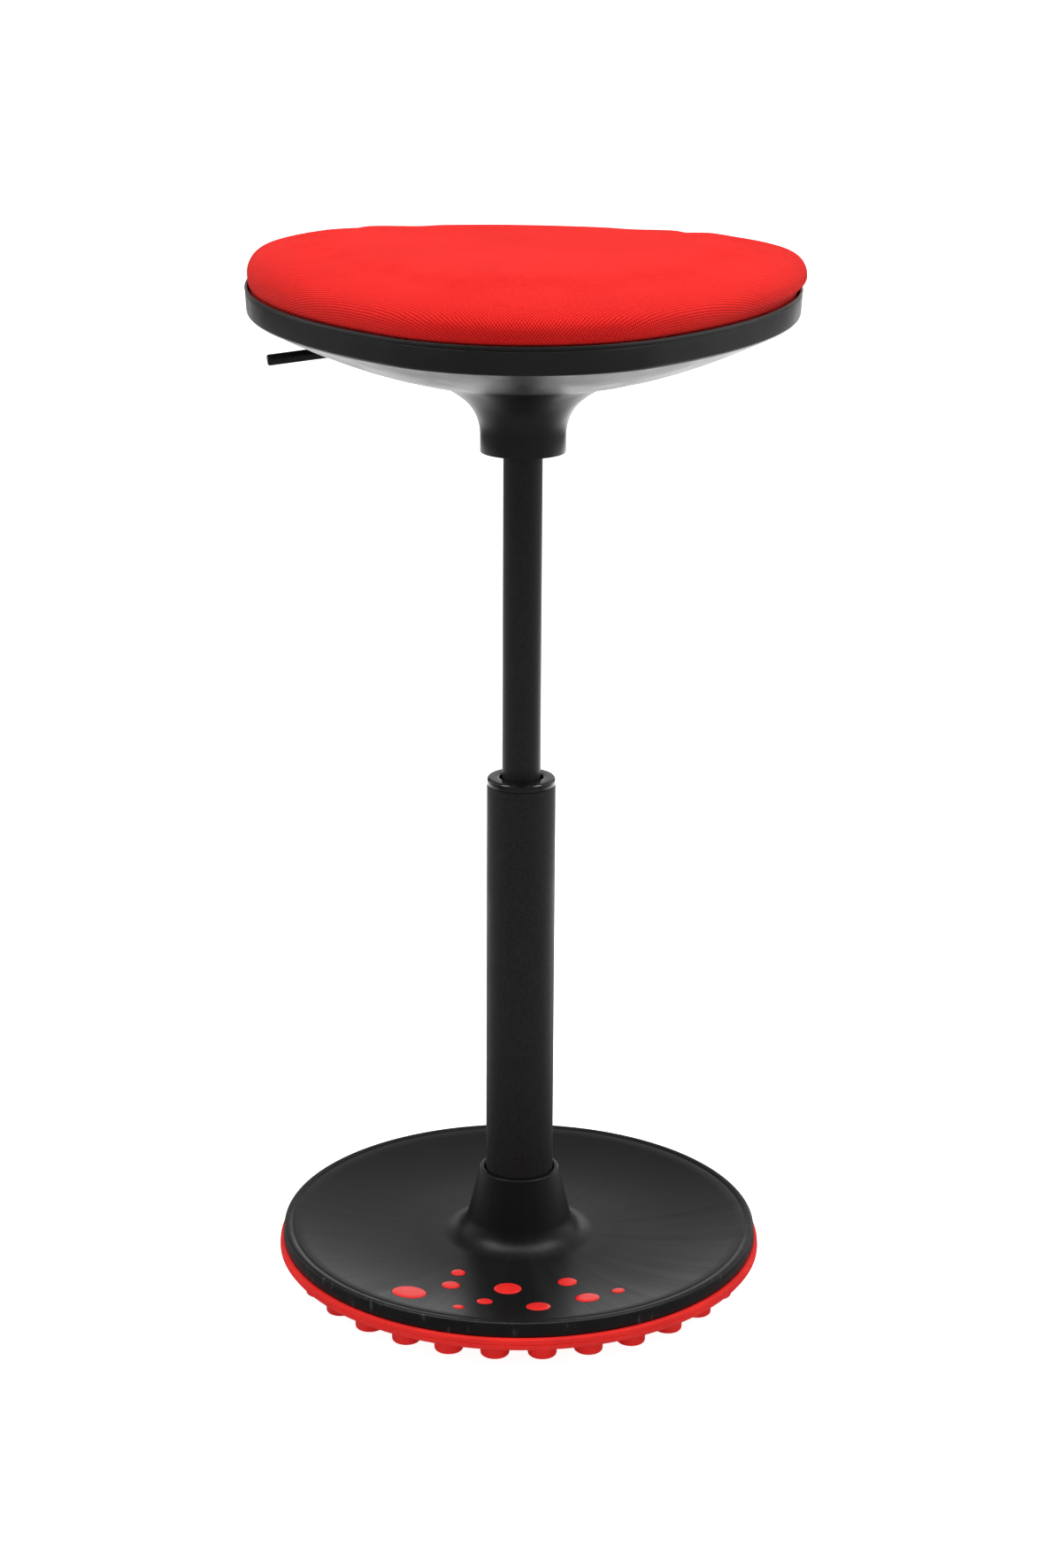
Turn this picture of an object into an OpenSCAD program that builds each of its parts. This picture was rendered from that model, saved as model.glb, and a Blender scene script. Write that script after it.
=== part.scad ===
// Height-adjustable perching stool on a rocking rubber-soled disc.
// Frame: origin on the floor under the column, +Z up, seat nose and inlay dots towards -Y.

/* [Sole] */
// Widest diameter of the rubber sole
sole_d = 361; // [345:1:380]
// Rise of the domed underside from its middle to its rim
dome_rise = 13.5; // [11:0.5:15]
// Height of the sole's rim, up to the parting line with the shell
sole_rim_h = 9.5; // [8:0.5:12]
// Thickness of the rubber under the ballast
sole_t = 6; // [4:0.5:7]
// Height of the middle studs
stud_h = 10; // [8:0.5:12]
// Diameter of a stud
stud_d = 21; // [16:0.5:23]
// Height of the outer ring of studs above the floor
outer_stud_z = 12; // [9:0.5:14]
// Radius of the outer ring of studs
stud_ring_r = 160.7; // [155:0.1:163]
// Studs in the outer ring
outer_studs = 30; // [20:2:34]

/* [Base shell] */
// Diameter of the shell at the parting line
shell_d = 356; // [346:1:360]
// Wall of the shell
shell_wall = 3; // [2.5:0.25:3.5]
// Height of the shell's edge, from the parting line to the disc beside the bead
shell_edge_h = 10.4; // [10:0.2:12]
// Depth of the dished disc, from its edge to its flat middle
disc_dip = 9.9; // [8:0.1:10]
// Radius of the flat middle of the disc
dish_in_r = 80; // [70:1:95]
// Height of the cup above the middle of the disc
cup_h = 52.5; // [50:0.5:58]
// Outer diameter of the cup's lip
cup_d = 59; // [58:0.5:66]
// Angle of the cup's cone from upright
cup_angle = 13.3; // [10:0.1:16]
// Radius of the flare between cup and disc
flare_r = 20; // [16:1:22]
// Depth of the inlay recesses
inlay_depth = 1.6; // [1:0.1:2]
// How far the inlay dots stand proud
inlay_proud = 0.4; // [0.2:0.1:0.8]
// Gap round each inlay dot
inlay_gap = 0.25; // [0.1:0.05:0.4]

/* [Ballast] */
// Gap between the ballast's rim and the rim of the sole
ballast_gap = 5; // [4:0.5:10]
// How far the ballast's outer top lies below the parting line
ballast_drop = 2; // [1.5:0.25:2.5]
// Depth of the ballast's middle pocket, under the dished disc
pocket_depth = 5; // [4.5:0.25:6]
// Width of the ledge that the ballast rim lies on
ledge_w = 14; // [8:1:20]
// Radius of the ring of shell screws
shell_screw_ring = 132; // [110:1:140]
// Shell screws
shell_screw_n = 6; // [4:1:8]
// Shank diameter of the shell screws
shell_screw_d = 5; // [4:0.5:6]

/* [Column] */
// Outer diameter of the column tube
column_d = 50; // [48:0.5:50.5]
// Wall of the column tube
column_wall = 2; // [1.5:0.25:2.5]
// Length of the column from its foot to the top of the collar
column_l = 363; // [340:1:380]
// Height of the collar
collar_h = 5.5; // [5:0.5:12]
// Bore of the collar round the gas tube
collar_bore = 32; // [30:0.5:36]
// Thickness of the socket's floor under the column
socket_floor = 3; // [2:0.5:4]
// How much thinner the column's foot is than its shaft, across
column_taper = 4; // [3:0.5:5]
// Thickness of the column's bottom plate
column_plate = 4; // [3:0.5:5]
// Height of the steel socket above the column's foot
socket_h = 40; // [34:1:42]
// Wall of the steel socket
socket_wall = 2.6; // [2:0.2:3]
// Diameter of the socket's flange
flange_d = 94; // [88:1:96]
// Flange bolts
flange_bolt_n = 6; // [4:1:8]
// Length of the plastic guide bush
bush_l = 77; // [60:1:80]

/* [Gas lift] */
// Outer diameter of the gas tube
gas_d = 28; // [27:0.5:28.5]
// Travel of the lift
stroke = 235; // [200:1:235]
// Diameter of the piston rod
rod_d = 10; // [9:0.5:11]
// Diameter of the rod's foot below its shoulder
rod_foot_d = 8; // [6:0.5:8.5]
// Bore of the inner cylinder
cylinder_bore = 18; // [16:0.5:19]
// Wall of the inner cylinder
cylinder_wall = 1.5; // [1:0.25:1.75]
// Length of gas tube that shows at full height
gas_shown = 238; // [236:1:260]
// Length of gas tube inside the column at full height
gas_overlap = 95; // [91:1:96]
// Length of the seal and guide in the tube's foot
rod_guide_l = 14; // [10:1:20]
// Diameter of the valve pin
valve_pin_d = 5; // [4:0.5:6]
// How far the valve pin is pressed
valve_travel = 2.2; // [1.5:0.1:3]
// Ball diameter of the thrust bearing
ball_d = 5; // [4:0.5:5]
// Balls in the thrust bearing
ball_n = 12; // [8:1:14]

/* [Seat outline] */
// Radius of the front nose
nose_r = 122; // [110:1:135]
// Turn of the front nose on each side
nose_turn = 45.5; // [42:0.5:48]
// Radius of the long sides
side_r = 396; // [380:1:410]
// Radius of the back corners
corner_r = 78; // [70:1:86]
// Turn of the outline where the back edge starts
back_turn = 169; // [166:1:173]
// Distance from the column to the front of the rim
seat_front = 202; // [195:1:210]

/* [Seat pan] */
// Diameter of the hub skirt
skirt_d = 60.6; // [58:0.2:66]
// Height of the hub skirt's straight part
skirt_h = 12.5; // [11:0.5:18]
// Radius of the first part of the flare
hub_r1 = 33; // [28:1:36]
// Turn of the first part of the flare
hub_turn = 50; // [46:1:54]
// Radius of the second part of the flare
hub_r2 = 70; // [62:1:78]
// Slope of the flare from level where the dish starts
dish_slope = 12; // [10:1:16]
// How far the dish bows down between the flare and the rim
dish_bow = 4.2; // [2:0.2:5]
// Wall of the seat pan
pan_wall = 3; // [2.5:0.25:3.5]
// Height of the rim's lower edge above the hub skirt's mouth
dish_h = 86.5; // [85:0.5:90]
// Height of the rim's wall
rim_h = 18.5; // [17:0.5:22]
// How far the rim's wall leans out
rim_lean = 1.2; // [0.8:0.2:2]
// Thickness of the rim's lip
lip_t = 2.5; // [2:0.25:3.5]
// Depth of the board's ledge below the lip
ledge_drop = 8.5; // [7:0.5:9]
// Width of the board's ledge
ledge_in = 10; // [8:0.5:12]

/* [Cushion] */
// Height of the cushion's crown above the lip
crown_h = 38; // [30:0.5:42]
// Height above the lip where the cushion is widest
bulge_h = 9; // [7:0.5:10]
// Gap between the cushion's side and the lip
cushion_gap = 2; // [1.5:0.25:3]
// How far the cushion overhangs the rim's lower edge where it is widest
bulge_out = 1; // [0:0.25:2]
// Thickness of the fabric cover
cover_t = 1.2; // [0.8:0.1:2]
// Width of the hem turned under the board
hem_w = 18; // [12:1:24]
// Thickness of the seat board
board_t = 10; // [9:0.5:12]
// How flat the crown's top is
crown_flat = 6.5; // [4:0.25:8]
// How full the crown's rolled edge is
crown_full = 1.75; // [1.5:0.05:2.2]

/* [Seat fittings] */
// Thickness of the steel bracket's plate
plate_t = 3; // [2.5:0.25:3.5]
// Length of the bracket's plate from side to side
plate_l = 150; // [140:1:160]
// Width of the bracket's plate from front to back
plate_w = 110; // [100:1:120]
// Spacing of the bracket bolts from side to side
bolt_x = 120; // [110:1:125]
// Spacing of the bracket bolts from front to back
bolt_y = 80; // [70:1:85]
// Shank diameter of the bracket bolts
bolt_d = 6; // [5:0.5:6.5]
// Place of the pan posts on the dish, from the hub (0) to the rim (1)
post_place = 0.38; // [0.34:0.01:0.42]
// Diameter of a pan post
post_d = 14; // [12:0.5:16]
// Diameter of a clip's stem
clip_d = 8; // [6:0.5:9]
// Length of a clip's stem below the board
clip_l = 15; // [12:0.5:17]

/* [Lever] */
// Diameter of the lever rod
lever_d = 8; // [6:0.5:8.5]
// Lever's outer end, to the side of the column
lever_end_x = 179; // [174:1:184]
// Lever's outer end, behind the column
lever_end_y = 8; // [5:1:11]
// How far the lever's outer end hangs below the rim
lever_end_drop = 24.5; // [23:0.5:27]
// Lever's bend, to the side of the column
lever_bend_x = 96; // [90:1:100]
// Lever's bend, behind the column
lever_bend_y = 25; // [22:1:27]
// How far the lever's bend lies below the rim's lower edge
lever_bend_drop = 15.5; // [14:0.5:17]
// How far the lever's pivot lies below the rim's lower edge
pivot_drop = 7; // [5.5:0.5:7.5]
// Distance from the lever's pivot to the valve pin
lever_arm = 36; // [34:1:40]
// Diameter of the pivot pin
pivot_d = 5; // [4:0.5:6]
// Width of the lever slot in the pan
slot_w = 12; // [11:0.5:14]

/* [Hidden] */
$fn = 72;

fit = 0.05;          // radial gap of parts pressed or glued together
run = 0.08;          // radial gap of parts that turn or slide in each other
seat_gap = 0.3;      // gap between soft or curved neighbours

// Sole and base
sole_r = sole_d / 2;
shell_r = shell_d / 2;
sole_corner_r = sole_r - 1.5;
sole_corner_z = stud_h + dome_rise;
parting_z = sole_corner_z + sole_rim_h;
cup_wall = 3.5;
rim_wall = 10;
rim_inner_r = shell_r - rim_wall;
ballast_r = rim_inner_r - ballast_gap;
tongue_h = 3;
tongue_t = 3;
stud_rings = 4;
function under_z(r) = stud_h + (sole_corner_z - stud_h) * pow(r / sole_corner_r, 2);
function floor_z(r) = under_z(r) + sole_t;
ledge_r = ballast_r - ledge_w;
ledge_z = floor_z(ledge_r) + 0.8;
ballast_z = parting_z - ballast_drop;
pocket_z = ballast_z - pocket_depth;
pocket_r = dish_in_r - 5;
pocket_slope_r = dish_in_r + 40;
centre_hole_r = 16;
dots_shell_r = 178;
dots_drawn = [[-79, -117, 25], [-49.5, -98, 13.5], [-44.5, -75.5, 10.5], [-43, -142, 8.5],
    [-24.5, -128, 11.5], [-8, -102.5, 20], [14, -138, 17.5], [35.5, -90.5, 14],
    [49.5, -121.5, 17.5], [72, -110, 9.5]];
inlay_dots_at = [for (p = dots_drawn)
    [p.x * shell_r / dots_shell_r, p.y * shell_r / dots_shell_r, p.z]];

// Shell profile: cone of the cup, flare and disc
disc_edge_z = parting_z + shell_edge_h;
disc_z = disc_edge_z - disc_dip;
cup_z = disc_z + cup_h;
disc_edge_r = shell_r - 8;
flare_zc = disc_z + flare_r;
cone_z = flare_zc - flare_r * sin(cup_angle);
cone_r = cup_d / 2 + (cup_z - cone_z) * tan(cup_angle);
flare_rc = cone_r + flare_r * cos(cup_angle);
function dish_share(r) = max(0, r - dish_in_r) / (disc_edge_r - dish_in_r);
function disc_top(r) = disc_z + disc_dip * pow(dish_share(r), 2);
function disc_slope(r) = atan(2 * disc_dip * dish_share(r) / (disc_edge_r - dish_in_r));
bead_r = shell_r - 4;
boss_d = 14;
screw_skin = 2;

// Column, socket and bearing stack
column_r = column_d / 2;
column_foot_z = pocket_z + socket_floor;
column_z = column_foot_z + column_l;
socket_z = column_foot_z + socket_h;
column_foot_r = column_r - column_taper / 2;
flange_r = flange_d / 2;
flange_t = socket_floor + 2;
flange_bolt_ring = flange_r - 10;
flange_bolt_d = 6;
plate_top = column_foot_z + column_plate;
race_t = 2.5;
race_r = column_foot_r - column_wall - 0.5;
ball_z = plate_top + race_t + fit + ball_d / 2;
ball_inset = 5.5;
ball_ring = race_r - ball_inset;
shoulder_z = ball_z + ball_d / 2 + fit + race_t;
buffer_h = 15;
clip_t = 1.5;
clip_gap = 0.3;
clip_z = column_foot_z - clip_gap - clip_t;
rod_tail = 4;
rod_foot_z = clip_z - rod_tail;

// Heights in the seat
skirt_z = column_z + gas_shown;
rim_z = skirt_z + dish_h;
rim_top_z = rim_z + rim_h;
board_seat_z = rim_top_z - ledge_drop;
board_z = board_seat_z + cover_t;
foam_z = board_z + board_t;
bracket_z = board_z - plate_t;
clip_cover = 2.6;
clip_head = board_t - clip_cover;
wrap_in = lip_t + cushion_gap - rim_lean;
bulge_z = rim_top_z + bulge_h;
crown_z = rim_top_z + crown_h;
pivot_z = rim_z - pivot_drop;

// Gas lift
gas_r = gas_d / 2;
gas_wall = 1.5;
gas_foot_z = column_z - gas_overlap;
pivot_rise = 11;
taper_l = 42;
gas_top_z = pivot_z - pivot_rise;
gas_taper_z = gas_top_z - taper_l;
gas_tip_r = gas_r - 0.6;
valve_body_l = 40;
valve_body_z = gas_top_z - valve_body_l;
valve_body_r = gas_r - 2.5;
inner_z = gas_foot_z + rod_guide_l;
cylinder_r = cylinder_bore / 2 + cylinder_wall;
piston_z = inner_z + 2;
piston_h = 12;
nose_tip_r = 5;
valve_pin_top = pivot_z - nose_tip_r - fit;
valve_pin_l = 30;

// Seat outline: arcs by the turn of their tangent, from the front round to the back
function arc(r, a, b) = [r * (sin(b) - sin(a)), r * (cos(a) - cos(b))];
front_pt = [0, -seat_front];
side_pt = front_pt + arc(nose_r, 0, nose_turn);
corner_pt = side_pt + arc(side_r, nose_turn, 90);
back_pt = corner_pt + arc(corner_r, 90, back_turn);
back_r = back_pt.x / sin(back_turn);
function half_pt(t) =
    t <= nose_turn ? front_pt + arc(nose_r, 0, t) :
    t <= 90 ? side_pt + arc(side_r, nose_turn, t) :
    t <= back_turn ? corner_pt + arc(corner_r, 90, t) :
    back_pt + arc(back_r, back_turn, t);
function outline_pt(t, out) = t <= 180 ?
    half_pt(t) + out * [sin(t), -cos(t)] :
    [-half_pt(360 - t).x + out * sin(t), half_pt(360 - t).y - out * cos(t)];
half_turns = concat(
    [for (i = [0:5]) nose_turn * i / 6],
    [for (i = [0:5]) nose_turn + (90 - nose_turn) * i / 6],
    [for (i = [0:8]) 90 + (back_turn - 90) * i / 9],
    [for (i = [0:2]) back_turn + (180 - back_turn) * i / 3]);
turns = concat(half_turns, [180], [for (i = [len(half_turns) - 1:-1:1]) 360 - half_turns[i]]);
function outline_ring(out, z) = [for (t = turns) concat(outline_pt(t, out), [z])];
function circle_ring(r, z) = [for (t = turns) [r * sin(t), -r * cos(t), z]];
function scaled_ring(out, s, z) = [for (t = turns) concat(s * outline_pt(t, out), [z])];

// Hub of the seat pan: two flare arcs, then the dish, which bows down on its way to the rim
skirt_r = skirt_d / 2;
hub_c1 = [skirt_r + hub_r1, skirt_z + skirt_h];
hub_c2 = hub_c1 + (hub_r2 - hub_r1) * [cos(hub_turn), -sin(hub_turn)];
function hub_pt(a, in) = a <= hub_turn ?
    hub_c1 + (hub_r1 + in) * [-cos(a), sin(a)] :
    hub_c2 + (hub_r2 + in) * [-cos(a), sin(a)];
dish_start = hub_pt(90 - dish_slope, 0);
hub_turns = concat([for (i = [0:4]) hub_turn * i / 4],
    [for (i = [1:3]) hub_turn + (90 - dish_slope - hub_turn) * i / 3]);

function bowed_pt(t, s, start, foot) =
    (1 - s) * [start.x * sin(t), -start.x * cos(t), start.y] + s * foot
    - [0, 0, 4 * dish_bow * s * (1 - s)];
function bowed_ring(s, start, out, z) =
    [for (t = turns) bowed_pt(t, s, start, concat(outline_pt(t, out), [z]))];
bow_steps = [0.2, 0.4, 0.6, 0.8];

// Pan posts: each stands on the dish at its turn of the outline
post_turns = [60, 110, 165, 195, 250, 300];
post_foot = [for (t = post_turns)
    bowed_pt(t, post_place, dish_start, concat(outline_pt(t, 0), [rim_z]))];

// Lever path, from the outer end over the bend to the rocker
lever_end = [-lever_end_x, lever_end_y, rim_z - lever_end_drop];
lever_bend = [-lever_bend_x, lever_bend_y, rim_z - lever_bend_drop];
lever_turn = atan2(-lever_bend_y, lever_bend_x);
lever_in_r = lever_arm + 12;
lever_in = [-lever_in_r * cos(lever_turn), -lever_in_r * sin(lever_turn), pivot_z];
barrel_l = 16;
rocker_w = 10;
ear_t = 3;
ear_gap = 0.4;
housing_r = 20;
chamber_r = 16;

// Joins rings of equal length into a closed skin; a pole closes each end
module skin(rings, pole_a, pole_b) {
    n = len(rings[0]);
    m = len(rings);
    pts = concat([for (r = rings) each r], [pole_a, pole_b]);
    faces = concat(
        [for (i = [0:m - 2], j = [0:n - 1]) [i * n + j, (i + 1) * n + j, (i + 1) * n + (j + 1) % n]],
        [for (i = [0:m - 2], j = [0:n - 1]) [i * n + j, (i + 1) * n + (j + 1) % n, i * n + (j + 1) % n]],
        [for (j = [0:n - 1]) [m * n, j, (j + 1) % n]],
        [for (j = [0:n - 1]) [m * n + 1, (m - 1) * n + (j + 1) % n, (m - 1) * n + j]]);
    polyhedron(points = pts, faces = faces);
}

// Joins rings into a closed loop, for a shell that is open at both ends
module skin_loop(rings) {
    n = len(rings[0]);
    m = len(rings);
    pts = [for (r = rings) each r];
    faces = concat(
        [for (i = [0:m - 1], j = [0:n - 1])
            [i * n + j, ((i + 1) % m) * n + j, ((i + 1) % m) * n + (j + 1) % n]],
        [for (i = [0:m - 1], j = [0:n - 1])
            [i * n + j, ((i + 1) % m) * n + (j + 1) % n, i * n + (j + 1) % n]]);
    polyhedron(points = pts, faces = faces);
}

// A ring or tube about the column axis
module tube(r_in, r_out, z0, z1) {
    translate([0, 0, z0]) difference() {
        cylinder(r = r_out, h = z1 - z0);
        translate([0, 0, -1]) cylinder(r = r_in, h = z1 - z0 + 2);
    }
}

// A cylinder from one point to another
module bar(p, q, r) {
    d = q - p;
    translate(p) rotate([0, acos(d.z / norm(d)), atan2(d.y, d.x)]) cylinder(r = r, h = norm(d));
}

// Places a child n times round the column axis
module around(n, r, start = 0) {
    for (i = [0:n - 1]) rotate([0, 0, start + i * 360 / n]) translate([r, 0, 0]) children();
}

module stud(z0, z1) {
    edge = 1.5;
    translate([0, 0, z0]) cylinder(r1 = stud_d / 2 - edge * 0.6, r2 = stud_d / 2, h = edge);
    translate([0, 0, z0 + edge - 0.01]) cylinder(d = stud_d, h = z1 - z0 - edge + 0.01);
}

// Moulded rubber sole: a shallow dome with rings of round studs
module rubber_sole() {
    n = 8;
    color("#d8302c") {
        rotate_extrude() polygon(concat(
            [for (i = [0:n]) [sole_corner_r * i / n, under_z(sole_corner_r * i / n)]],
            [[sole_r, sole_corner_z + 3.5], [sole_r, sole_corner_z + 5.5], [shell_r, parting_z],
             [rim_inner_r + tongue_t, parting_z], [rim_inner_r + tongue_t, parting_z + tongue_h],
             [rim_inner_r, parting_z + tongue_h], [rim_inner_r, ledge_z], [ledge_r, ledge_z]],
            [for (i = [n:-1:0]) [ledge_r * i / n, floor_z(ledge_r * i / n)]]));
        stud(0, stud_h + 1);
        for (k = [1:stud_rings]) {
            ring_r = stud_ring_r * k / stud_rings;
            base_z = k == stud_rings ? outer_stud_z : k == stud_rings - 1 ? outer_stud_z * 0.4 : 0;
            count = round(outer_studs * k / stud_rings);
            around(count, ring_r, -90 + 180 / count) stud(base_z, under_z(ring_r - stud_d / 2) + 2);
        }
    }
}

// Outline of the shell's wall, from the cup's lip round the rim and back inside
module shell_profile() {
    n = 6;
    edge_r = 3.4;
    bead_z = disc_top(bead_r - 5) + 0.8 - edge_r;
    inner_r = flare_r + shell_wall;
    last_r = bead_r - 5;
    polygon(concat(
        [[cup_d / 2 - cup_wall, cup_z], [cup_d / 2 - 1, cup_z], [cup_d / 2, cup_z - 1.2]],
        [for (i = [0:n])
            let (a = cup_angle + (90 - cup_angle) * i / n)
            [flare_rc - flare_r * cos(a), flare_zc - flare_r * sin(a)]],
        [for (i = [0:n])
            let (r = dish_in_r + (last_r - dish_in_r) * i / n) [r, disc_top(r)]],
        [[bead_r - 2, disc_top(last_r) + 0.7]],
        [for (i = [0:4])
            let (a = 90 - i * 80 / 4)
            [bead_r + edge_r * cos(a), bead_z + edge_r * sin(a)]],
        [[shell_r, parting_z], [shell_r - shell_wall, parting_z],
         [shell_r - shell_wall - 0.6, disc_top(bead_r) - shell_wall - 1]],
        [for (i = [n - 1:-1:0])
            let (r = dish_in_r + (last_r - dish_in_r) * i / n) [r, disc_top(r) - shell_wall]],
        [for (i = [n:-1:0])
            let (a = cup_angle + (90 - cup_angle) * i / n)
            [flare_rc - inner_r * cos(a), flare_zc - inner_r * sin(a)]],
        [[column_r + socket_wall + 0.8, socket_z + 3], [cup_d / 2 - cup_wall, socket_z + 3]]));
}

// Sets a child at an inlay dot, square to the dished disc
module at_dot(p) {
    r = norm([p.x, p.y]);
    translate([p.x, p.y, disc_top(r)]) rotate([0, 0, atan2(p.y, p.x)])
        rotate([0, -disc_slope(r), 0]) children();
}

// Moulded black cover of the base, with screw bosses inside
module base_shell() {
    boss_h = disc_top(shell_screw_ring) - 1 - ballast_z;
    hole_h = disc_top(shell_screw_ring) - screw_skin - ballast_z;
    color("#262626") difference() {
        union() {
            rotate_extrude() shell_profile();
            around(shell_screw_n, shell_screw_ring, 30)
                translate([0, 0, ballast_z]) cylinder(d = boss_d, h = boss_h);
        }
        around(shell_screw_n, shell_screw_ring, 30)
            translate([0, 0, ballast_z - 1])
                cylinder(r = shell_screw_d / 2 + fit, h = hole_h + 1);
        for (p = inlay_dots_at)
            at_dot(p) translate([0, 0, -inlay_depth]) cylinder(r = p.z / 2 + inlay_gap, h = 6);
    }
}

// Red plugs glued into recesses in the top of the shell
module inlay_dots() {
    color("#e03430") for (p = inlay_dots_at) at_dot(p) {
        translate([0, 0, -inlay_depth]) cylinder(d = p.z, h = inlay_depth);
        cylinder(d1 = p.z, d2 = p.z - 1.6, h = inlay_proud);
    }
}

// Cast-iron weight that fills the sole
module ballast_plate() {
    n = 8;
    hole_r = centre_hole_r;
    color("#55585c") difference() {
        rotate_extrude() polygon(concat(
            [for (i = [0:n])
                let (r = hole_r + (ledge_r - seat_gap - hole_r) * i / n) [r, floor_z(r) + seat_gap]],
            [[ledge_r - seat_gap, ledge_z], [ballast_r, ledge_z], [ballast_r, ballast_z],
             [pocket_slope_r, ballast_z], [pocket_r, pocket_z], [hole_r, pocket_z]]));
        around(shell_screw_n, shell_screw_ring, 30) {
            translate([0, 0, 0]) cylinder(r = shell_screw_d / 2 + fit, h = 60);
            translate([0, 0, 0]) cylinder(d = 2 * shell_screw_d + 1, h = floor_z(shell_screw_ring) + 4);
        }
        around(flange_bolt_n, flange_bolt_ring)
            translate([0, 0, pocket_z - flange_bolt_d - 1])
                cylinder(r = flange_bolt_d / 2 + fit, h = 20);
    }
}

// Steel hub that holds the column's tapered foot
module column_socket() {
    bore_foot = column_foot_r + fit;
    bore_top = column_foot_r + fit
        + (column_r - column_foot_r) * (socket_z - column_foot_z) / (socket_z + 4 - column_foot_z);
    color("#6b6e72") difference() {
        rotate_extrude() polygon([
            [centre_hole_r, pocket_z], [flange_r, pocket_z], [flange_r, pocket_z + flange_t],
            [bore_foot + socket_wall + 2, pocket_z + flange_t],
            [bore_foot + socket_wall, pocket_z + flange_t + 3],
            [bore_top + socket_wall, socket_z], [bore_top, socket_z],
            [bore_foot, column_foot_z], [centre_hole_r, column_foot_z]]);
        around(flange_bolt_n, flange_bolt_ring)
            translate([0, 0, pocket_z - 1]) cylinder(r = flange_bolt_d / 2 + fit, h = flange_t + 2);
    }
}

// Hexagon bolts through the flange into the ballast
module flange_bolts() {
    head_z = pocket_z + flange_t;
    grip = flange_bolt_d + 0.5;
    head_h = 0.525 * flange_bolt_d;
    color("#8d9094") around(flange_bolt_n, flange_bolt_ring) {
        translate([0, 0, pocket_z - grip]) cylinder(d = flange_bolt_d, h = flange_t + grip + 0.1);
        translate([0, 0, head_z]) cylinder(d = 1.85 * flange_bolt_d, h = head_h, $fn = 6);
    }
}

// Pan-head screws from under the ballast into the shell's bosses
module shell_screws() {
    head_z = floor_z(shell_screw_ring) + 4;
    color("#8d9094") around(shell_screw_n, shell_screw_ring, 30) {
        translate([0, 0, head_z - 2.6]) cylinder(d = 2 * shell_screw_d, h = 2.6);
        translate([0, 0, head_z - 0.1])
            cylinder(d = shell_screw_d, h = disc_top(shell_screw_ring) - screw_skin - 0.3 - head_z);
    }
}

// Outer column tube with a tapered, closed foot
module column_tube() {
    taper_z = socket_z + 4;
    w = column_wall;
    color("#2b2b2b") rotate_extrude() polygon([
        [rod_foot_d / 2 + 0.5, column_foot_z], [column_foot_r, column_foot_z],
        [column_r, taper_z], [column_r, column_z - collar_h],
        [column_r - w, column_z - collar_h], [column_r - w, taper_z],
        [column_foot_r - w, plate_top], [rod_foot_d / 2 + 0.5, plate_top]]);
}

// Glossy ring that caps the column and steadies the top of the bush
module column_collar() {
    edge = 1.6;
    spigot = 5;
    r = column_r;
    color("#151515") rotate_extrude() polygon(concat(
        [[collar_bore / 2, column_z - collar_h - spigot],
         [r - column_wall - fit, column_z - collar_h - spigot],
         [r - column_wall - fit, column_z - collar_h], [r, column_z - collar_h]],
        [for (i = [0:4])
            let (a = i * 90 / 4) [r - edge + edge * cos(a), column_z - edge + edge * sin(a)]],
        [[collar_bore / 2 + 0.5, column_z], [collar_bore / 2, column_z - 0.5]]));
}

// Plastic bush that the gas tube slides in
module guide_bush() {
    top = column_z - collar_h - 5;
    color("#3a3a3a") tube(gas_r + run, column_r - column_wall - fit, top - bush_l, top);
}

module lower_race() {
    color("#9a9da1") tube(rod_foot_d / 2 + 0.5, race_r, plate_top, plate_top + race_t);
}

// Flat cage that keeps the balls apart
module bearing_cage() {
    t = 2.2;
    color("#b08d3c") difference() {
        tube(ball_ring - 4.2, ball_ring + 4.2, ball_z - t / 2, ball_z + t / 2);
        around(ball_n, ball_ring) translate([0, 0, ball_z - 5]) cylinder(r = ball_d / 2 + 0.1, h = 10);
    }
}

module bearing_balls() {
    color("#c9ccd0") around(ball_n, ball_ring) translate([0, 0, ball_z]) sphere(d = ball_d, $fn = 24);
}

module upper_race() {
    color("#9a9da1") tube(rod_foot_d / 2 + run, race_r, shoulder_z - race_t, shoulder_z);
}

// Soft stop that the gas tube meets at the bottom of its travel
module rubber_buffer() {
    color("#1c1c1c") tube(rod_d / 2 + run, gas_r + 2, shoulder_z, shoulder_z + buffer_h);
}

// Chromed rod, held in the column's foot by its shoulder and clip
module piston_rod() {
    groove_r = rod_foot_d / 2 - 0.5;
    r0 = rod_foot_d / 2;
    stud_top = piston_z + piston_h + 5;
    color("#c9ccd0") rotate_extrude() polygon([
        [0, rod_foot_z], [r0 - 0.5, rod_foot_z], [r0, rod_foot_z + 0.5], [r0, clip_z - 0.05],
        [groove_r, clip_z - 0.05], [groove_r, clip_z + clip_t + 0.05], [r0, clip_z + clip_t + 0.05],
        [r0, shoulder_z], [rod_d / 2, shoulder_z], [rod_d / 2, piston_z], [3, piston_z],
        [3, stud_top], [0, stud_top]]);
}

module piston() {
    groove_z = piston_z + 4.5;
    r = cylinder_bore / 2 - run;
    color("#d9d5c8") rotate_extrude() polygon([
        [3 + fit, piston_z], [r, piston_z], [r, groove_z], [r - 1.6, groove_z],
        [r - 1.6, groove_z + 3], [r, groove_z + 3], [r, piston_z + piston_h],
        [3 + fit, piston_z + piston_h]]);
}

module piston_nut() {
    color("#8d9094") difference() {
        translate([0, 0, piston_z + piston_h]) cylinder(d = 11, h = 4, $fn = 6);
        translate([0, 0, piston_z]) cylinder(r = 3 + fit, h = piston_h + 10);
    }
}

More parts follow.
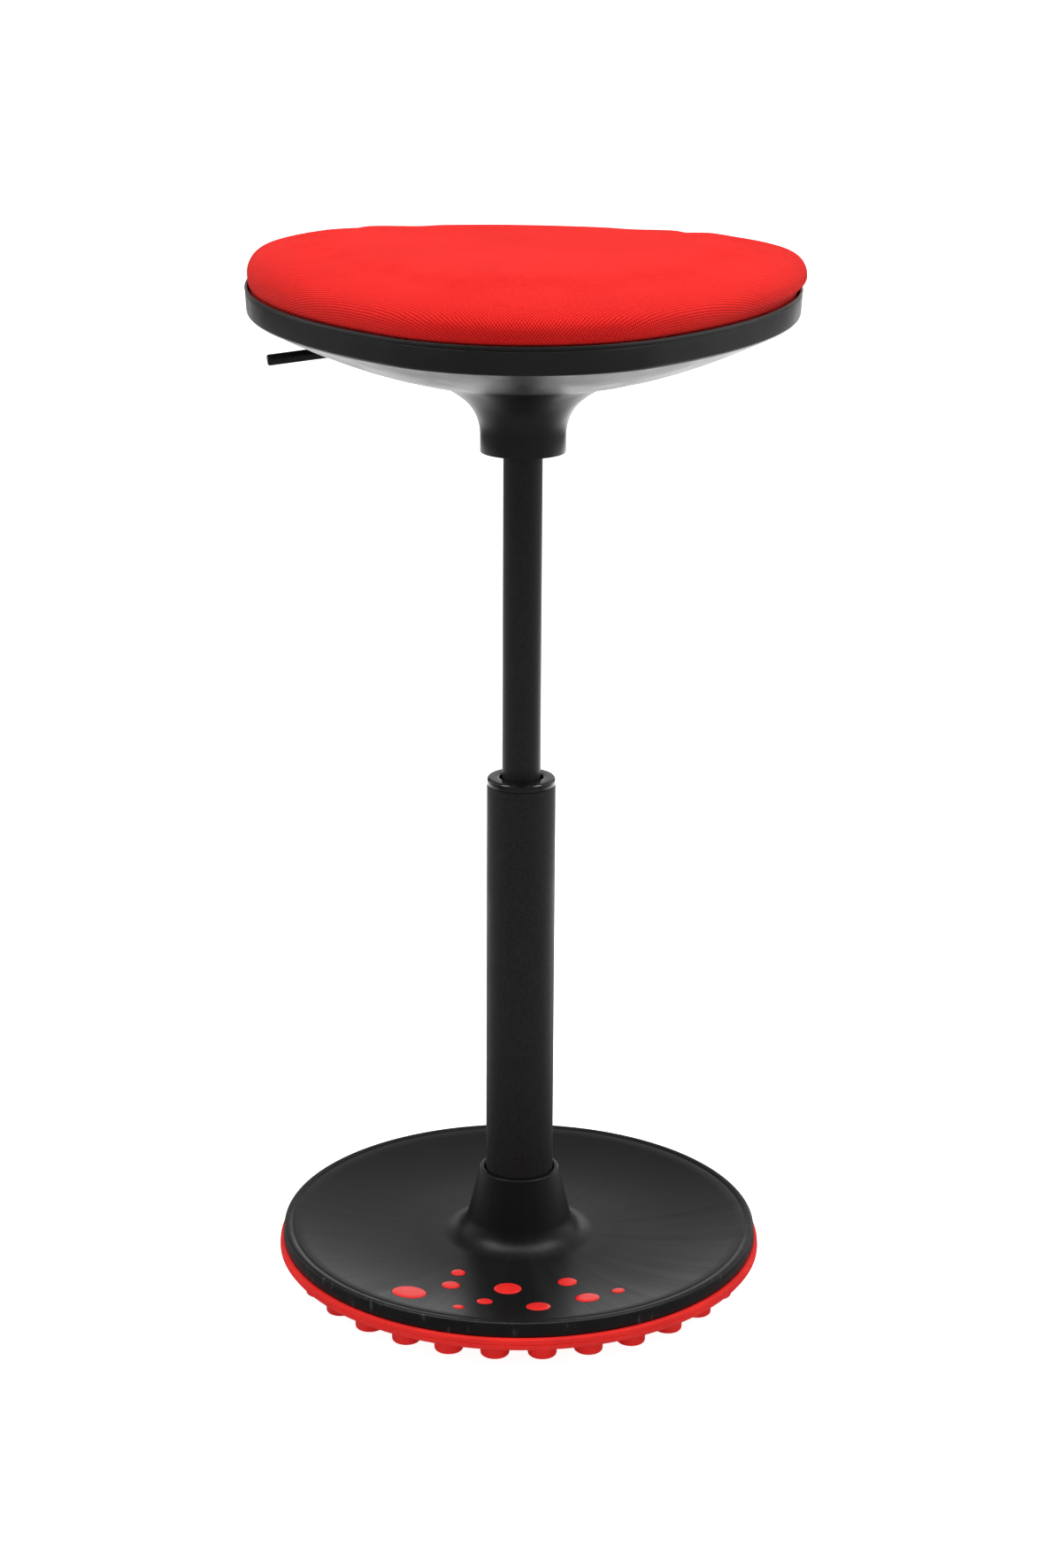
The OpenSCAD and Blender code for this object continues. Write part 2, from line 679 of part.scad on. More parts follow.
// Split washer in the rod's groove, under the column's foot
module rod_clip() {
    color("#8d9094") difference() {
        tube(rod_foot_d / 2 - 0.5 + fit, rod_foot_d / 2 + 4, clip_z, clip_z + clip_t);
        translate([0, -1.5, clip_z - 1]) cube([20, 3, clip_t + 2]);
    }
}

// Gas tube: straight shaft, tapered top that wedges into the bracket
module pressure_tube() {
    w = gas_wall;
    color("#303234") rotate_extrude() polygon([
        [gas_r - w, gas_foot_z], [gas_r - 0.6, gas_foot_z], [gas_r, gas_foot_z + 0.8],
        [gas_r, gas_taper_z], [gas_tip_r, gas_top_z], [valve_body_r, gas_top_z],
        [valve_body_r, valve_body_z], [gas_r - w, valve_body_z]]);
}

module inner_cylinder() {
    color("#b9bcc0") tube(cylinder_bore / 2, cylinder_r, inner_z, valve_body_z);
}

// Seal and guide of the rod in the foot of the gas tube
module rod_guide() {
    color("#4a4a4a") tube(rod_d / 2 + run, gas_r - gas_wall - fit, gas_foot_z, inner_z);
}

module valve_body() {
    r = valve_pin_d / 2 + run;
    color("#a9acb0") difference() {
        translate([0, 0, valve_body_z]) cylinder(r = valve_body_r - fit, h = gas_top_z - valve_body_z);
        translate([0, 0, valve_pin_top - valve_pin_l - valve_travel - 1]) cylinder(r = r, h = 60);
    }
}

module valve_pin() {
    color("#c9ccd0") translate([0, 0, valve_pin_top - valve_pin_l])
        cylinder(d = valve_pin_d, h = valve_pin_l);
}

// Pressed plate with a welded taper housing and the lever's two ears
module seat_bracket() {
    ear_y = rocker_w / 2 + ear_gap;
    bore_r = gas_r + fit;
    color("#3c3f42") difference() {
        union() {
            translate([-plate_l / 2, -plate_w / 2, bracket_z]) cube([plate_l, plate_w, plate_t]);
            translate([0, 0, gas_taper_z]) cylinder(r = housing_r, h = bracket_z - gas_taper_z + 1);
            rotate([0, 0, lever_turn]) for (s = [-1, 1])
                translate([-lever_arm - 8, s * (ear_y + ear_t / 2) - ear_t / 2, pivot_z - 8])
                    cube([16, ear_t, bracket_z - pivot_z + 9]);
        }
        translate([0, 0, gas_taper_z - 0.01])
            cylinder(r1 = bore_r, r2 = gas_tip_r + fit, h = gas_top_z - gas_taper_z + 0.02);
        translate([0, 0, gas_top_z]) cylinder(r = chamber_r, h = bracket_z - gas_top_z);
        rotate([0, 0, lever_turn]) {
            translate([-housing_r - 2, -ear_y, gas_top_z])
                cube([housing_r + 2, 2 * ear_y, bracket_z - gas_top_z]);
            translate([-lever_arm, 30, pivot_z]) rotate([90, 0, 0])
                cylinder(r = pivot_d / 2 + fit, h = 60);
        }
        for (x = [-1, 1], y = [-1, 1])
            translate([x * bolt_x / 2, y * bolt_y / 2, bracket_z - 1])
                cylinder(r = bolt_d / 2 + fit, h = plate_t + 2);
    }
}

// Four bolts up through the bracket into the board
module bracket_bolts() {
    color("#8d9094") for (x = [-1, 1], y = [-1, 1])
        translate([x * bolt_x / 2, y * bolt_y / 2, 0]) {
            translate([0, 0, bracket_z - 4]) cylinder(d = 1.85 * bolt_d, h = 4, $fn = 6);
            translate([0, 0, bracket_z - 0.1]) cylinder(d = bolt_d, h = plate_t + board_t - 0.9);
        }
}

// Flanged nuts let into the top of the board
module tee_nuts() {
    color("#a9acb0") for (x = [-1, 1], y = [-1, 1])
        translate([x * bolt_x / 2, y * bolt_y / 2, 0]) difference() {
            union() {
                translate([0, 0, foam_z - 1.5]) cylinder(d = 3 * bolt_d, h = 1.5);
                translate([0, 0, board_z + 0.5]) cylinder(d = bolt_d + 3, h = board_t - 1);
            }
            translate([0, 0, board_z]) cylinder(r = bolt_d / 2 + fit, h = board_t + 1);
        }
}

module pivot_pin() {
    l = rocker_w + 2 * (ear_gap + ear_t) + 1;
    color("#c9ccd0") rotate([0, 0, lever_turn]) translate([-lever_arm, l / 2, pivot_z])
        rotate([90, 0, 0]) cylinder(d = pivot_d, h = l);
}

// Steel rocker: barrel for the rod, pivot eye and the nose over the valve pin
module lever_rocker() {
    dir = (lever_bend - lever_in) / norm(lever_bend - lever_in);
    w = rocker_w;
    arm_h = 7;
    color("#6b6e72") difference() {
        union() {
            bar(lever_in - 2 * dir, lever_in + barrel_l * dir, lever_d / 2 + 2.5);
            rotate([0, 0, lever_turn]) {
                translate([-lever_arm, w / 2, pivot_z]) rotate([90, 0, 0]) cylinder(r = 6, h = w);
                translate([-lever_in_r, -w / 2, pivot_z - arm_h / 2]) cube([lever_in_r, w, arm_h]);
                translate([0, w / 2, pivot_z]) rotate([90, 0, 0]) cylinder(r = nose_tip_r, h = w);
            }
        }
        bar(lever_in, lever_in + (barrel_l + 5) * dir, lever_d / 2 + fit);
        rotate([0, 0, lever_turn]) translate([-lever_arm, 30, pivot_z]) rotate([90, 0, 0])
            cylinder(r = pivot_d / 2 + run, h = 60);
    }
}

// Bent steel rod that the sitter lifts: inner stretch, bend and chamfered outer stretch
module lever_rod() {
    chamfer = 0.8;
    bend_r = 16;
    r = lever_d / 2;
    lap = 0.3;           // how far each straight stretch runs into the bend
    bend_thin = 0.02;    // how much thinner the rod is in its bend
    along = (lever_bend - lever_in) / norm(lever_bend - lever_in);
    out = (lever_end - lever_bend) / norm(lever_end - lever_bend);
    turn = acos(along * out);
    up = cross(along, out) / sin(turn);
    side = -cross(up, along);
    cut = bend_r * tan(turn / 2);
    from = lever_bend - cut * along;
    to = lever_bend + cut * out;
    centre = from - bend_r * side;
    l = norm(lever_end - to) + lap;
    $fn = 36;
    color("#161616") {
        bar(lever_in, from + lap * along, r);
        multmatrix([for (i = [0:2]) [side[i], along[i], up[i], centre[i]]])
            rotate_extrude(angle = turn) translate([bend_r, 0]) circle(r = r - bend_thin);
        translate(to - lap * out) rotate([0, acos(out.z), atan2(out.y, out.x)])
            rotate_extrude() polygon([[0, 0], [r, 0], [r, l - chamfer], [r - chamfer, l], [0, l]]);
    }
}

// Black moulded dish with its hub skirt, rim and the ledge for the board
module seat_pan() {
    in = rim_lean - lip_t;
    foot = post_d / 2 * tan(dish_slope) + 0.2;
    inner_start = hub_pt(90 - dish_slope, pan_wall);
    inner_foot_z = rim_z + pan_wall - ledge_in * tan(dish_slope);
    out_rings = concat(
        [circle_ring(skirt_r - 0.8, skirt_z), circle_ring(skirt_r, skirt_z + 0.8)],
        [for (a = hub_turns) let (p = hub_pt(a, 0)) circle_ring(p.x, p.y)],
        [for (s = bow_steps) bowed_ring(s, dish_start, -3, rim_z - 0.6)],
        [outline_ring(-3, rim_z - 0.6), outline_ring(0, rim_z + 0.6)],
        [outline_ring(rim_lean, rim_top_z - 1), outline_ring(rim_lean - 0.8, rim_top_z)]);
    in_rings = concat(
        [outline_ring(in + 0.6, rim_top_z), outline_ring(in, rim_top_z - 0.6),
         outline_ring(in, board_seat_z), outline_ring(in - ledge_in, board_seat_z),
         outline_ring(in - ledge_in, inner_foot_z)],
        [for (s = reversed(bow_steps)) bowed_ring(s, inner_start, in - ledge_in, inner_foot_z)],
        [for (i = [len(hub_turns) - 1:-1:0])
            let (p = hub_pt(hub_turns[i], pan_wall)) circle_ring(p.x, p.y)],
        [circle_ring(skirt_r - pan_wall, skirt_z)]);
    slot_start = 0.15;
    slot_stop = 0.93;
    slot_from = lever_end + slot_start * (lever_bend - lever_end);
    slot_to = lever_end + slot_stop * (lever_bend - lever_end);
    slot_turn = atan2(slot_to.y - slot_from.y, slot_to.x - slot_from.x);
    slot_l = norm([slot_to.x - slot_from.x, slot_to.y - slot_from.y]);
    color("#232323") difference() {
        union() {
            skin_loop(concat(out_rings, in_rings));
            for (p = post_foot) translate(p + [0, 0, foot])
                cylinder(d = post_d, h = board_z - seat_gap - p.z - foot);
        }
        for (p = post_foot) translate([p.x, p.y, board_z - clip_l - 1])
            cylinder(r = clip_d / 2 + fit, h = clip_l + 2);
        translate([slot_from.x, slot_from.y, skirt_z]) rotate([0, 0, slot_turn])
            translate([0, -slot_w / 2, 0]) cube([slot_l, slot_w, board_seat_z - skirt_z - 6]);
    }
}

// Plywood board that carries the foam
module seat_board() {
    in = -wrap_in - cover_t - fit;
    color("#c8a26a") difference() {
        translate([0, 0, board_z]) linear_extrude(board_t)
            polygon([for (t = turns) outline_pt(t, in)]);
        for (x = [-1, 1], y = [-1, 1]) translate([x * bolt_x / 2, y * bolt_y / 2, 0]) {
            translate([0, 0, foam_z - 1.5]) cylinder(r = 1.5 * bolt_d + fit, h = 3);
            translate([0, 0, board_z - 1]) cylinder(r = bolt_d / 2 + 1.5 + fit, h = board_t + 2);
        }
        for (p = post_foot) translate([p.x, p.y, board_z - 1])
            cylinder(r = clip_d / 2 + 1 + fit, h = clip_head + 1.1);
    }
}

// Push-in clips that hold the upholstered board to the pan's posts
module board_clips() {
    color("#dcdcd6") for (p = post_foot) translate([p.x, p.y, 0]) {
        translate([0, 0, board_z]) cylinder(d = clip_d + 2, h = clip_head);
        translate([0, 0, board_z - clip_l]) cylinder(d = clip_d, h = clip_l + 1);
    }
}

// Heights and insets of the cushion's crown, for a skin that lies t inside the surface
crown_steps = [0.985, 0.95, 0.9, 0.82, 0.7, 0.5, 0.25];
function crown(t, s) = scaled_ring(bulge_out - t, s,
    bulge_z + (crown_z - t - bulge_z) * pow(1 - pow(s, crown_flat), 1 / crown_full));
function crown_rings(t) = [for (s = crown_steps) crown(t, s)];
function side_rings(t) = [
    outline_ring(bulge_out / 2 - t, bulge_z - bulge_h * 0.45 + t / 2),
    outline_ring(bulge_out - t, bulge_z)];
function reversed(list) = [for (i = [len(list) - 1:-1:0]) list[i]];

// Foam block with its crown, glued on the board
module seat_foam() {
    t = cover_t + fit;
    color("#e9e2c4") skin(
        concat([outline_ring(-wrap_in - t, foam_z)], side_rings(t), crown_rings(t)),
        [0, 0, foam_z], [0, 0, crown_z - t]);
}

// Woven cover drawn over foam and board, hem stapled under the board
module seat_cover() {
    t = cover_t;
    color("#e0221e") skin(
        concat(
            reversed(crown_rings(t)), reversed(side_rings(t)),
            [outline_ring(-wrap_in - t, foam_z), outline_ring(-wrap_in - t, board_z),
             outline_ring(-wrap_in - hem_w, board_z), outline_ring(-wrap_in - hem_w, board_seat_z),
             outline_ring(-wrap_in - 1, board_seat_z), outline_ring(-wrap_in, board_seat_z + 1),
             outline_ring(-wrap_in, rim_top_z)],
            side_rings(0), crown_rings(0)),
        [0, 0, crown_z - t], [0, 0, crown_z]);
}

rubber_sole();
base_shell();
inlay_dots();
ballast_plate();
column_socket();
flange_bolts();
shell_screws();
column_tube();
column_collar();
guide_bush();
lower_race();
bearing_cage();
bearing_balls();
upper_race();
rubber_buffer();
piston_rod();
piston();
piston_nut();
rod_clip();
pressure_tube();
inner_cylinder();
rod_guide();
valve_body();
valve_pin();
seat_bracket();
bracket_bolts();
tee_nuts();
pivot_pin();
lever_rocker();
lever_rod();
seat_pan();
seat_board();
board_clips();
seat_foam();
seat_cover();
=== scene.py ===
import math

import bmesh
import bpy
from mathutils import Euler, Matrix, Vector, kdtree, noise


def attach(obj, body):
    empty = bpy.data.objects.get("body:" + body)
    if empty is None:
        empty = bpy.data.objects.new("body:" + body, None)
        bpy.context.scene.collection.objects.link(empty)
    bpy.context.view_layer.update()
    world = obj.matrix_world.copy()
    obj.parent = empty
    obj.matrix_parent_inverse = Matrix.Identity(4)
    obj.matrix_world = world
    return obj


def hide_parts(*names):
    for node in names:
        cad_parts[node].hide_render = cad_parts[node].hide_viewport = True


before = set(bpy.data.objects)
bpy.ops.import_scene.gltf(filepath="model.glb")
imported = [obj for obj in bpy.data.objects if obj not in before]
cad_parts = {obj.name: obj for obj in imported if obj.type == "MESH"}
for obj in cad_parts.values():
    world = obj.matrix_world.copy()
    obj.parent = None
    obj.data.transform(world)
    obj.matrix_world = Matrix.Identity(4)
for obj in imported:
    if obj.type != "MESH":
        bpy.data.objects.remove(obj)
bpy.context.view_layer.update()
scene = bpy.context.scene
scene.view_settings.view_transform = "Standard"
mm = 0.001

# Studio: a pale sweep of floor, white surroundings and soft boxes overhead, seen from a
# little above seat height by a 70 mm lens.

camera = bpy.data.objects.new("camera", bpy.data.cameras.new("camera"))
camera.data.lens = 70.35
camera.data.sensor_width = 36
camera.data.clip_end = 30
camera.location = (-0.0025, -2.125, 1.033)
camera.rotation_euler = Euler((math.radians(90 - 16.93), math.radians(-0.3), 0), "XYZ")
scene.collection.objects.link(camera)
scene.camera = camera


def soft_box(name, place, target, size, power):
    """A square lamp at place that faces target."""
    lamp = bpy.data.lights.new(name, "AREA")
    lamp.shape = "RECTANGLE"
    lamp.size, lamp.size_y = size
    lamp.energy = power
    holder = bpy.data.objects.new(name, lamp)
    holder.location = place
    aim = Vector(target) - Vector(place)
    holder.rotation_euler = aim.to_track_quat("-Z", "Y").to_euler()
    scene.collection.objects.link(holder)


soft_box("box_top", (0, -0.3, 2.6), (0, 0, 0.6), (1.6, 1.4), 28)
soft_box("box_right", (1.35, -0.25, 2.2), (0, 0, 0.4), (0.7, 0.9), 16)
soft_box("box_left", (-1.35, -0.35, 2.2), (0, 0, 0.4), (0.7, 0.9), 14)


def join(operation, *values):
    """One maths node of the studio's trees."""
    made = tree.nodes.new("ShaderNodeMath")
    made.operation = operation
    for socket, value in zip(made.inputs, values):
        if isinstance(value, bpy.types.NodeSocket):
            tree.links.new(value, socket)
        else:
            socket.default_value = value
    return made.outputs[0]


def ramp(value, low, high, at_low, at_high):
    """Carries a value over from the span low to high to the span at_low to at_high."""
    made = tree.nodes.new("ShaderNodeMapRange")
    tree.links.new(value, made.inputs["Value"])
    for socket, number in (("From Min", low), ("From Max", high),
                           ("To Min", at_low), ("To Max", at_high)):
        made.inputs[socket].default_value = number
    return made.outputs[0]


def shine(kind, strength):
    """A white background or emission shader, as strong as a node says."""
    made = tree.nodes.new(kind)
    made.inputs["Color"].default_value = (1, 1, 1, 1)
    tree.links.new(strength, made.inputs["Strength"])
    return made.outputs[0]


# The camera sees plain white. Gloss sees white walls to the sides and the back, a little
# brighter on the right, and dim behind the camera and overhead, where the soft boxes hang.
world = bpy.data.worlds.new("white_surroundings")
world.use_nodes = True
scene.world = world
tree = world.node_tree
tree.nodes.clear()
rays = tree.nodes.new("ShaderNodeLightPath")
heading = tree.nodes.new("ShaderNodeTexCoord")
split = tree.nodes.new("ShaderNodeSeparateXYZ")
tree.links.new(heading.outputs["Generated"], split.inputs[0])
to_back = ramp(split.outputs["Y"], -0.7, 0.7, 0.15, 1.0)
to_top = ramp(split.outputs["Z"], 0.22, 0.62, 1.05, 0.45)
to_right = ramp(split.outputs["X"], -1.0, 1.0, 0.85, 1.2)
walls = join("MULTIPLY", join("MULTIPLY", to_back, to_top), to_right)
fill = 0.53
mirrored = join("MAXIMUM", rays.outputs["Is Glossy Ray"], rays.outputs["Is Transmission Ray"])
level = join("MULTIPLY_ADD", mirrored, join("SUBTRACT", walls, fill), fill)
level = join("MAXIMUM", level, rays.outputs["Is Camera Ray"])
out = tree.nodes.new("ShaderNodeOutputWorld")
tree.links.new(shine("ShaderNodeBackground", level), out.inputs["Surface"])


def drawn_on(bm, line, path):
    """Extrudes a line of edges along a vector and returns the line at its new end."""
    made = bmesh.ops.extrude_edge_only(bm, edges=line)["geom"]
    ends = {g for g in made if isinstance(g, bmesh.types.BMVert)}
    bmesh.ops.translate(bm, verts=list(ends), vec=path)
    return [g for g in made if isinstance(g, bmesh.types.BMEdge) and ends.issuperset(g.verts)]


# The floor is matt, runs back and curves up into a wall. It glows, so that the camera sees it
# pale. What gloss sees of it grows behind the stool and fades far to the sides and high up.
floor_mesh = bmesh.new()
floor_front = [floor_mesh.verts.new((-5, -1.1, 0)), floor_mesh.verts.new((5, -1.1, 0))]
sweep = [floor_mesh.edges.new(floor_front)]
curve = [math.radians(a) for a in range(9, 90, 9)]
for path in ([(0, 3.6, 0)] + [(0, 0.5 * math.cos(a), 0.5 * math.sin(a)) for a in curve]
             + [(0, 0, 5)]):
    sweep = drawn_on(floor_mesh, sweep, path)
for face in floor_mesh.faces:
    face.smooth = True
floor = bpy.data.objects.new("floor", bpy.data.meshes.new("floor"))
floor_mesh.to_mesh(floor.data)
floor_mesh.free()
scene.collection.objects.link(floor)
pale = bpy.data.materials.new("floor_pale")
pale.use_nodes = True
tree = pale.node_tree
tree.nodes.clear()
rays = tree.nodes.new("ShaderNodeLightPath")
matt = tree.nodes.new("ShaderNodeBsdfDiffuse")
matt.inputs["Color"].default_value = (0.82, 0.82, 0.82, 1)
place = tree.nodes.new("ShaderNodeTexCoord")
split = tree.nodes.new("ShaderNodeSeparateXYZ")
tree.links.new(place.outputs["Object"], split.inputs[0])
off_axis = join("ABSOLUTE", split.outputs["X"])
behind = join("MULTIPLY_ADD", off_axis, 0.6, split.outputs["Y"])
beside = join("MULTIPLY_ADD", split.outputs["Z"], -1.2, off_axis)
across = join("MULTIPLY_ADD", split.outputs["X"], 0.2, 1.03)
rise = join("MULTIPLY_ADD", split.outputs["Z"], 1.9, 1.0)
glow = join("MULTIPLY", ramp(behind, 0.3, 1.7, 0.2, 2.5), ramp(beside, 1.0, 1.5, 1.0, 0.06))
glow = join("DIVIDE", join("MULTIPLY", glow, across), rise)
glow = join("MULTIPLY", rays.outputs["Is Glossy Ray"], glow)
seen_glow = 0.92
glow = join("MULTIPLY_ADD", rays.outputs["Is Camera Ray"], seen_glow, glow)
both = tree.nodes.new("ShaderNodeAddShader")
bare = tree.nodes.new("ShaderNodeMixShader")
out = tree.nodes.new("ShaderNodeOutputMaterial")
tree.links.new(rays.outputs["Is Glossy Ray"], bare.inputs[0])
tree.links.new(matt.outputs[0], bare.inputs[1])
tree.links.new(bare.outputs[0], both.inputs[0])
tree.links.new(shine("ShaderNodeEmission", glow), both.inputs[1])
tree.links.new(both.outputs[0], out.inputs["Surface"])
floor.data.materials.append(pale)

# Sole: one moulding of red rubber, a shallow dome 361 mm across with rings of round studs
# that lets the stool rock. A fine step runs round its side where the mould parts.

stud_h = 10 * mm
dome_rise = 13.5 * mm
sole_r = 180.5 * mm
corner_r = sole_r - 1.5 * mm
corner_z = stud_h + dome_rise
parting_z = corner_z + 9.5 * mm
stud_r = 10.5 * mm
sole_wall = 6 * mm
ledge_z = 26.8 * mm
ledge_in_r, ledge_out_r, rim_in_r = 149 * mm, 168 * mm, 171 * mm
rim_h = 3 * mm
inner_step = 18.6 * mm
stud_rings = [(40.175, 8, 0), (80.35, 15, 0), (120.525, 23, 4.8), (160.7, 30, 12)]


def dome_z(r):
    """Height of the dome's underside at radius r."""
    return stud_h + dome_rise * (r / corner_r) ** 2


def arc_points(centre, radius, start, stop, steps):
    """Points (radius, height) on an arc, with the angles in degrees from outwards."""
    turns = [math.radians(start + (stop - start) * i / steps) for i in range(steps + 1)]
    return [(centre[0] + radius * math.cos(t), centre[1] + radius * math.sin(t)) for t in turns]


def turned(profile, steps=144, closed=True):
    """A bmesh turned about the column axis from (radius, height) points."""
    bm = bmesh.new()
    points = [bm.verts.new((r, 0, z)) for r, z in profile]
    lines = [bm.edges.new(pair) for pair in zip(points, points[1:])]
    if closed:
        lines.append(bm.edges.new((points[-1], points[0])))
    bmesh.ops.spin(bm, geom=points + lines, cent=(0, 0, 0), axis=(0, 0, 1),
                   angle=math.tau, steps=steps, use_merge=True)
    bmesh.ops.remove_doubles(bm, verts=bm.verts, dist=1e-6)
    bmesh.ops.recalc_face_normals(bm, faces=bm.faces)
    return bm


def piece(name, bm, body, material, stands_for=(), crease=35):
    """Makes an object of a bmesh, smooth but for edges sharper than crease degrees."""
    for face in bm.faces:
        face.smooth = True
    mesh = bpy.data.meshes.new(name)
    bm.to_mesh(mesh)
    bm.free()
    mesh.set_sharp_from_angle(angle=math.radians(crease))
    made = bpy.data.objects.new(name, mesh)
    scene.collection.objects.link(made)
    made.data.materials.append(material)
    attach(made, body)
    if stands_for:
        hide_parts(*stands_for)
    return made


class Finish:
    """A node material on Object coordinates, with its noises and mixes made by name."""

    def __init__(self, name, roughness, metallic=0.0, specular=0.5, **sockets):
        self.material = bpy.data.materials.new(name)
        self.material.use_nodes = True
        self.tree = self.material.node_tree
        self.shader = self.tree.nodes["Principled BSDF"]
        self.shader.inputs["Roughness"].default_value = roughness
        self.shader.inputs["Metallic"].default_value = metallic
        self.shader.inputs["Specular IOR Level"].default_value = specular
        for socket, value in sockets.items():
            self.shader.inputs[socket.replace("_", " ")].default_value = value
        self.place = self.tree.nodes.new("ShaderNodeTexCoord").outputs["Object"]

    def node(self, kind, values=(), **settings):
        made = self.tree.nodes.new("ShaderNode" + kind)
        for setting, value in settings.items():
            setattr(made, setting, value)
        for socket, value in dict(values).items():
            if isinstance(value, bpy.types.NodeSocket):
                self.tree.links.new(value, made.inputs[socket])
            else:
                made.inputs[socket].default_value = value
        return made

    def noise(self, scale, detail, stretch=(1, 1, 1), where=None):
        placed = self.node("Mapping", {"Vector": where or self.place, "Scale": stretch})
        return self.node("TexNoise", {"Vector": placed.outputs[0], "Scale": scale,
                                      "Detail": detail}).outputs[0]

    def math(self, operation, a, b=0.0):
        return self.node("Math", {0: a, 1: b}, operation=operation).outputs[0]

    def spread(self, value, low, high, to_low=0.0, to_high=1.0):
        return self.node("MapRange", {"Value": value, "From Min": low, "From Max": high,
                                      "To Min": to_low, "To Max": to_high}).outputs[0]

    def mix(self, factor, a, b):
        made = self.node("Mix", data_type="RGBA")
        for index, value in ((0, factor), (6, a), (7, b)):
            if isinstance(value, bpy.types.NodeSocket):
                self.tree.links.new(value, made.inputs[index])
            else:
                made.inputs[index].default_value = value
        return made.outputs[2]

    def colour(self, value):
        self.tree.links.new(value, self.shader.inputs["Base Color"])

    def rough(self, value):
        self.tree.links.new(value, self.shader.inputs["Roughness"])

    def bump(self, height, depth):
        bump = self.node("Bump", {"Height": height, "Distance": depth, "Strength": 1.0})
        self.tree.links.new(bump.outputs[0], self.shader.inputs["Normal"])

    def clouded(self, scale, detail, dark, light, low=0.3, high=0.7):
        """Colours it in soft clouds between two shades."""
        self.colour(self.mix(self.spread(self.noise(scale, detail), low, high), dark, light))

    def uneven(self, scale, detail, smoothest, roughest):
        """Makes it smoother and rougher in soft clouds."""
        self.rough(self.spread(self.noise(scale, detail), 0.3, 0.7, smoothest, roughest))


def rgb(r, g, b):
    return (r, g, b, 1)


rubber = Finish("sole_rubber", 0.5, specular=0.25)
rubber.clouded(38, 6, rgb(0.76, 0.012, 0.009), rgb(0.88, 0.018, 0.013), 0.35, 0.65)
rubber.uneven(160, 4, 0.48, 0.62)
rubber.bump(rubber.noise(1400, 2), 0.00006)

side = ([(sole_r - 0.9 * mm, corner_z + 2.2 * mm)]
        + arc_points((sole_r - 1.2 * mm, corner_z + 3.6 * mm), 1.2 * mm, -35, 0, 3)
        + [(sole_r, parting_z - 4.9 * mm), (sole_r - 0.5 * mm, parting_z - 4.5 * mm),
           (sole_r - 0.1 * mm, parting_z - 4.0 * mm)]
        + arc_points((sole_r - 1.9 * mm, parting_z - 1.9 * mm), 1.6 * mm, 0, 75, 5)
        + [(sole_r - 2.5 * mm, parting_z)])
sole = turned([(i * corner_r / 16, dome_z(i * corner_r / 16)) for i in range(1, 16)]
              + [(corner_r - 1.4 * mm, corner_z - 0.1 * mm), (corner_r - 0.3 * mm, corner_z + 0.8 * mm)]
              + side
              + [(rim_in_r, parting_z), (rim_in_r, parting_z + rim_h),
                 (ledge_out_r, parting_z + rim_h), (ledge_out_r, ledge_z), (ledge_in_r, ledge_z)]
              + [(i * inner_step, dome_z(i * inner_step) + sole_wall) for i in range(8, 0, -1)],
              steps=180, closed=False)
for loop in (corner_r / 16, inner_step):
    rim = [e for e in sole.edges if e.is_boundary and abs(e.verts[0].co.xy.length - loop) < mm]
    bmesh.ops.edgeloop_fill(sole, edges=rim)
bmesh.ops.recalc_face_normals(sole, faces=sole.faces)


def add_stud(bm, x, y, foot, top):
    """A stud with a rounded foot edge and a slight taper, sunk into the dome above it."""
    made = bmesh.ops.create_cone(bm, cap_ends=True, segments=28, radius1=stud_r * 0.985,
                                 radius2=stud_r, depth=top - foot,
                                 matrix=Matrix.Translation((x, y, (foot + top) / 2)))["verts"]
    rim = [e for e in {e for v in made for e in v.link_edges}
           if all(v.co.z < foot + 1e-5 for v in e.verts)]
    bmesh.ops.bevel(bm, geom=rim, offset=1.6 * mm, segments=3, profile=0.5, affect="EDGES",
                    material=-1)


add_stud(sole, 0, 0, 0, stud_h + mm)
for ring, count, foot in stud_rings:
    for i in range(count):
        turn = math.radians(-90 + 180 / count + i * 360 / count)
        add_stud(sole, ring * mm * math.cos(turn), ring * mm * math.sin(turn), foot * mm,
                 dome_z(ring * mm - stud_r) + 2 * mm)
piece("sole", sole, "base", rubber.material, ["rubber_sole"])

# Ballast: a rough iron casting that fills the sole, with the pressed steel socket for the
# column bolted to its middle and screws up into the shell.

iron = Finish("cast_iron", 0.7, 0.7, specular=0.3)
iron.clouded(45, 8, rgb(0.05, 0.05, 0.055), rgb(0.15, 0.14, 0.135), 0.35, 0.7)
iron.bump(iron.noise(420, 6), 0.0004)

black_steel = Finish("painted_steel", 0.45, 0.1)
black_steel.clouded(60, 5, rgb(0.03, 0.03, 0.033), rgb(0.055, 0.055, 0.06))
black_steel.bump(black_steel.noise(900, 3), 0.00005)

zinc = Finish("zinc_plate", 0.35, 1.0)
zinc.clouded(220, 5, rgb(0.45, 0.45, 0.47), rgb(0.66, 0.66, 0.68))
zinc.uneven(600, 3, 0.28, 0.48)


def give(finish, *nodes):
    """Puts a finish on CAD nodes."""
    for name in nodes:
        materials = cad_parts[name].data.materials
        materials.clear()
        materials.append(finish.material)


give(iron, "ballast_plate")
give(black_steel, "column_socket")
give(zinc, "flange_bolts", "shell_screws")

# Base shell: a satin black moulding, dished like a plate. A tall cup flares up round the
# column's foot, and the edge ends in a soft bead over the sole. Faint streaks run outwards.

